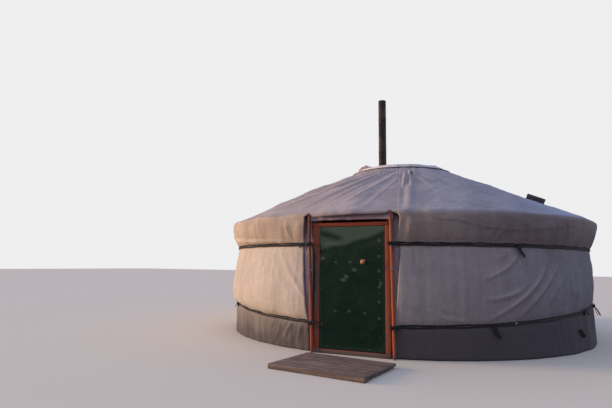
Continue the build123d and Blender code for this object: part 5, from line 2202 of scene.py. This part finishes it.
@dataclass(frozen=True)
class Step:
    """The slatted step in front of the door, weathered, with nail heads in its slats."""

    wood: WoodFinish = WoodFinish(
        "step_boards", Axis.X, (0.30, 0.225, 0.185), (0.115, 0.082, 0.070), turn=0.147, bump=0.9
    )
    nails: MetalFinish = MetalFinish(
        "step_nails", (0.10, 0.09, 0.09), (0.06, 0.05, 0.05), (0.12, 0.06, 0.04), 0.50
    )
    nail_radius: float = 0.0045
    nail_height: float = 0.004

    def build(self) -> list[Piece]:
        """Build the step's slats, bearers and nails.

        Returns:
            The pieces.
        """
        slats = worn_copy("step_slats", "step_slats_worn", 0.004, 0.0016, 0.06)
        bearers = worn_copy("step_bearers", "step_bearers_worn", 0.003, 0.001, 0.08)
        made = [dress(slats, self.wood, "step_wood", "step_slats")]
        made.append(dress(bearers, self.wood, "step_wood", "step_bearers"))
        return made + [self.nail_heads()]

    def nail_heads(self) -> Piece:
        """Two nails where each slat crosses a bearer.

        Returns:
            The piece.
        """
        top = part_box("step_slats")[1].z
        bearers = self.slabs("step_bearers")
        parts = []
        for point, way in self.slabs("step_slats"):
            for other, turn in bearers:
                gap = other - point
                spot = point + way * (gap.x * turn.y - gap.y * turn.x) / (way.x * turn.y - way.y * turn.x)
                for shift in (-0.018, 0.016):
                    parts.append(primitive(
                        bpy.ops.mesh.primitive_cylinder_add, vertices=10, radius=self.nail_radius,
                        depth=self.nail_height, location=(spot.x + shift, spot.y + 0.3 * shift, top),
                    ))
        return dress(join("step_nail_heads", parts), self.nails, "step_wood")

    def slabs(self, node: str) -> list[tuple[Vector, Vector]]:
        """Middle and long direction of each slab of a CAD node, seen from above.

        Args:
            node: The node.

        Returns:
            A point and a unit direction for each slab.
        """
        with editing(bare_copy(node, f"{node}_measure")):
            bpy.ops.mesh.separate(type="LOOSE")
        found = []
        for part in list(bpy.context.selected_objects):
            points = np.array([vertex.co[:2] for vertex in part.data.vertices])
            middle = points.mean(0)
            way = np.linalg.svd(points - middle)[2][0]
            found.append((Vector((*middle, 0.0)), Vector((*way, 0.0))))
            bpy.data.objects.remove(part)
        return found


@dataclass(frozen=True)
class Inside:
    """The lattice, roof poles, felt and beam that show through the door, and the block on the roof."""

    lattice: WoodFinish = WoodFinish(
        "lattice_laths", Axis.Z, (0.40, 0.24, 0.13), (0.22, 0.12, 0.06), scale=30.0, long_share=0.2
    )
    poles: WoodFinish = WoodFinish(
        "pole_wood", Axis.Z, (0.40, 0.22, 0.11), (0.20, 0.10, 0.05), (0.55, 0.17, 0.05), 0.22
    )
    felt: FeltFinish = FeltFinish("wool_felt", (0.56, 0.51, 0.44), (0.40, 0.36, 0.31))
    block: WoodFinish = WoodFinish(
        "block_timber", Axis.X, (0.085, 0.075, 0.078), (0.040, 0.035, 0.038), bump=0.8
    )

    def build(self) -> list[Piece]:
        """Give the inside's nodes their finishes, and wear the block on the roof.

        Returns:
            The pieces.
        """
        block = worn_copy("roof_block", "roof_block_worn", 0.006, 0.002, 0.05)
        made = [dress(block, self.block, "block_wood", "roof_block")]
        for starts, finish in (
            (("lattice_wall", "door_head"), self.lattice), ("roof_poles", self.poles),
            (("wall_felt", "roof_felt"), self.felt),
        ):
            made += [coat(piece, finish) for piece in bpy.data.objects if piece.name.startswith(starts)]
        return made


# Studio


def shown(tree: Tree) -> Socket:
    """1 where the camera, a reflection or a clear pane looks at the backdrop.

    Args:
        tree: The material's or the world's tree.

    Returns:
        The mask.
    """
    path = tree.add("LightPath").outputs
    seen = tree.math("MAXIMUM", path["Is Camera Ray"], path["Is Transmission Ray"])
    return tree.math("MAXIMUM", seen, path["Is Glossy Ray"])


@dataclass(frozen=True)
class GroundFinish(Finish):
    """Ground that looks pale to the camera and throws back only the soil's dull light."""

    name: str = "pale_ground"
    soil: Colour = (0.13, 0.10, 0.085)
    pale: Colour = (0.92, 0.86, 0.68)

    def lay(self, tree: Tree, shader: Node) -> None:
        """Lay the ground."""
        colour = tree.mix(shown(tree), self.soil, self.pale)
        tree.feed(shader, Base_Color=colour, Roughness=1.0, Specular_IOR_Level=0.0)


@dataclass(frozen=True)
class Studio:
    """The photograph's view, its evening light, and a pale ground."""

    place: Triple = (1.777, -8.156, 1.036)
    yaw: float = -0.4145
    pitch: float = 0.1269
    roll: float = 0.012
    lens: float = 27.92
    sensor: float = 36.0
    sun: Colour = (1.0, 0.66, 0.42)
    sun_strength: float = 2.7
    sun_size: float = 18.0
    sun_bearing: float = -77.0
    sun_height: float = 9.0
    zenith: Colour = (0.36, 0.42, 0.66)
    glow: Colour = (0.95, 0.72, 0.58)
    dusk: Colour = (0.27, 0.26, 0.32)
    pale: Colour = (0.86, 0.86, 0.87)

    def camera(self) -> None:
        """Place the camera where the photograph was taken."""
        level = math.cos(self.pitch)
        ahead = Vector((math.sin(self.yaw) * level, math.cos(self.yaw) * level, math.sin(self.pitch)))
        right = Vector((math.cos(self.yaw), -math.sin(self.yaw), 0.0))
        up = right.cross(ahead)
        cos, sin = math.cos(self.roll), math.sin(self.roll)
        data = bpy.data.cameras.new("view")
        data.sensor_width, data.lens, data.clip_end = self.sensor, self.lens, 200.0
        camera = bpy.data.objects.new("view", data)
        columns = (cos * right + sin * up, cos * up - sin * right, -ahead, self.place)
        camera.matrix_world = Matrix((*([column[i] for column in columns] for i in range(3)), (0, 0, 0, 1)))
        bpy.context.scene.collection.objects.link(camera)
        bpy.context.scene.camera = camera

    def sunlight(self) -> None:
        """A low warm sun with a soft edge, from the left of the door."""
        light = bpy.data.lights.new("low_sun", "SUN")
        light.energy, light.color, light.angle = self.sun_strength, self.sun, math.radians(self.sun_size)
        lamp = bpy.data.objects.new("low_sun", light)
        rise = math.radians(self.sun_height)
        away = Vector(at(math.cos(rise), math.sin(rise), self.sun_bearing))
        lamp.rotation_euler = away.to_track_quat("Z", "Y").to_euler()
        bpy.context.scene.collection.objects.link(lamp)

    def sky(self) -> None:
        """Evening sky: bluish above, warm at the left horizon, dull at the right, pale to the camera."""
        world = bpy.data.worlds.new("evening")
        bpy.context.scene.world = world
        world.use_nodes = True
        tree = Tree(world.node_tree)
        x, _, z = tree.split(tree.add("TexCoord").outputs["Generated"])
        horizon = tree.mix(tree.stretch(x, -0.7, 0.9), self.glow, self.dusk)
        lit = tree.mix(tree.stretch(z, 0.0, 0.65), horizon, self.zenith)
        backdrop = tree.mix(shown(tree), lit, self.pale)
        tree.feed(world.node_tree.nodes["Background"], Color=backdrop, Strength=1.0)

    def ground(self) -> None:
        """A wide pale ground that throws back only dull light."""
        floor = primitive(bpy.ops.mesh.primitive_plane_add, size=120, location=(0, 0, -0.001))
        floor.name = "ground"
        coat(floor, GroundFinish())

    def build(self) -> None:
        """Set up the view, the light and the ground."""
        bpy.context.scene.view_settings.view_transform = "Standard"
        for stage in (self.camera, self.sunlight, self.sky, self.ground):
            stage()
        log.info("studio: ready")


def corners(box: tuple[Vector, Vector]) -> list[list[float]]:
    """A box as plain lists."""
    return [list(corner) for corner in box]


def main() -> None:
    """Build the yurt's looks, piece by piece, and log how many pieces each part makes."""
    logging.basicConfig(level=logging.INFO, format="%(name)s: %(message)s")
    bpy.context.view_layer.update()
    Studio().build()
    for part in (Covers(), Straps(), Crown(), StovePipe(), DoorLeaf(), DoorFrame(), Step(), Inside()):
        made = part.build()
        log.info("%s: %d pieces", type(part).__name__, len(made))


if __name__ == "__main__":
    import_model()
    main()
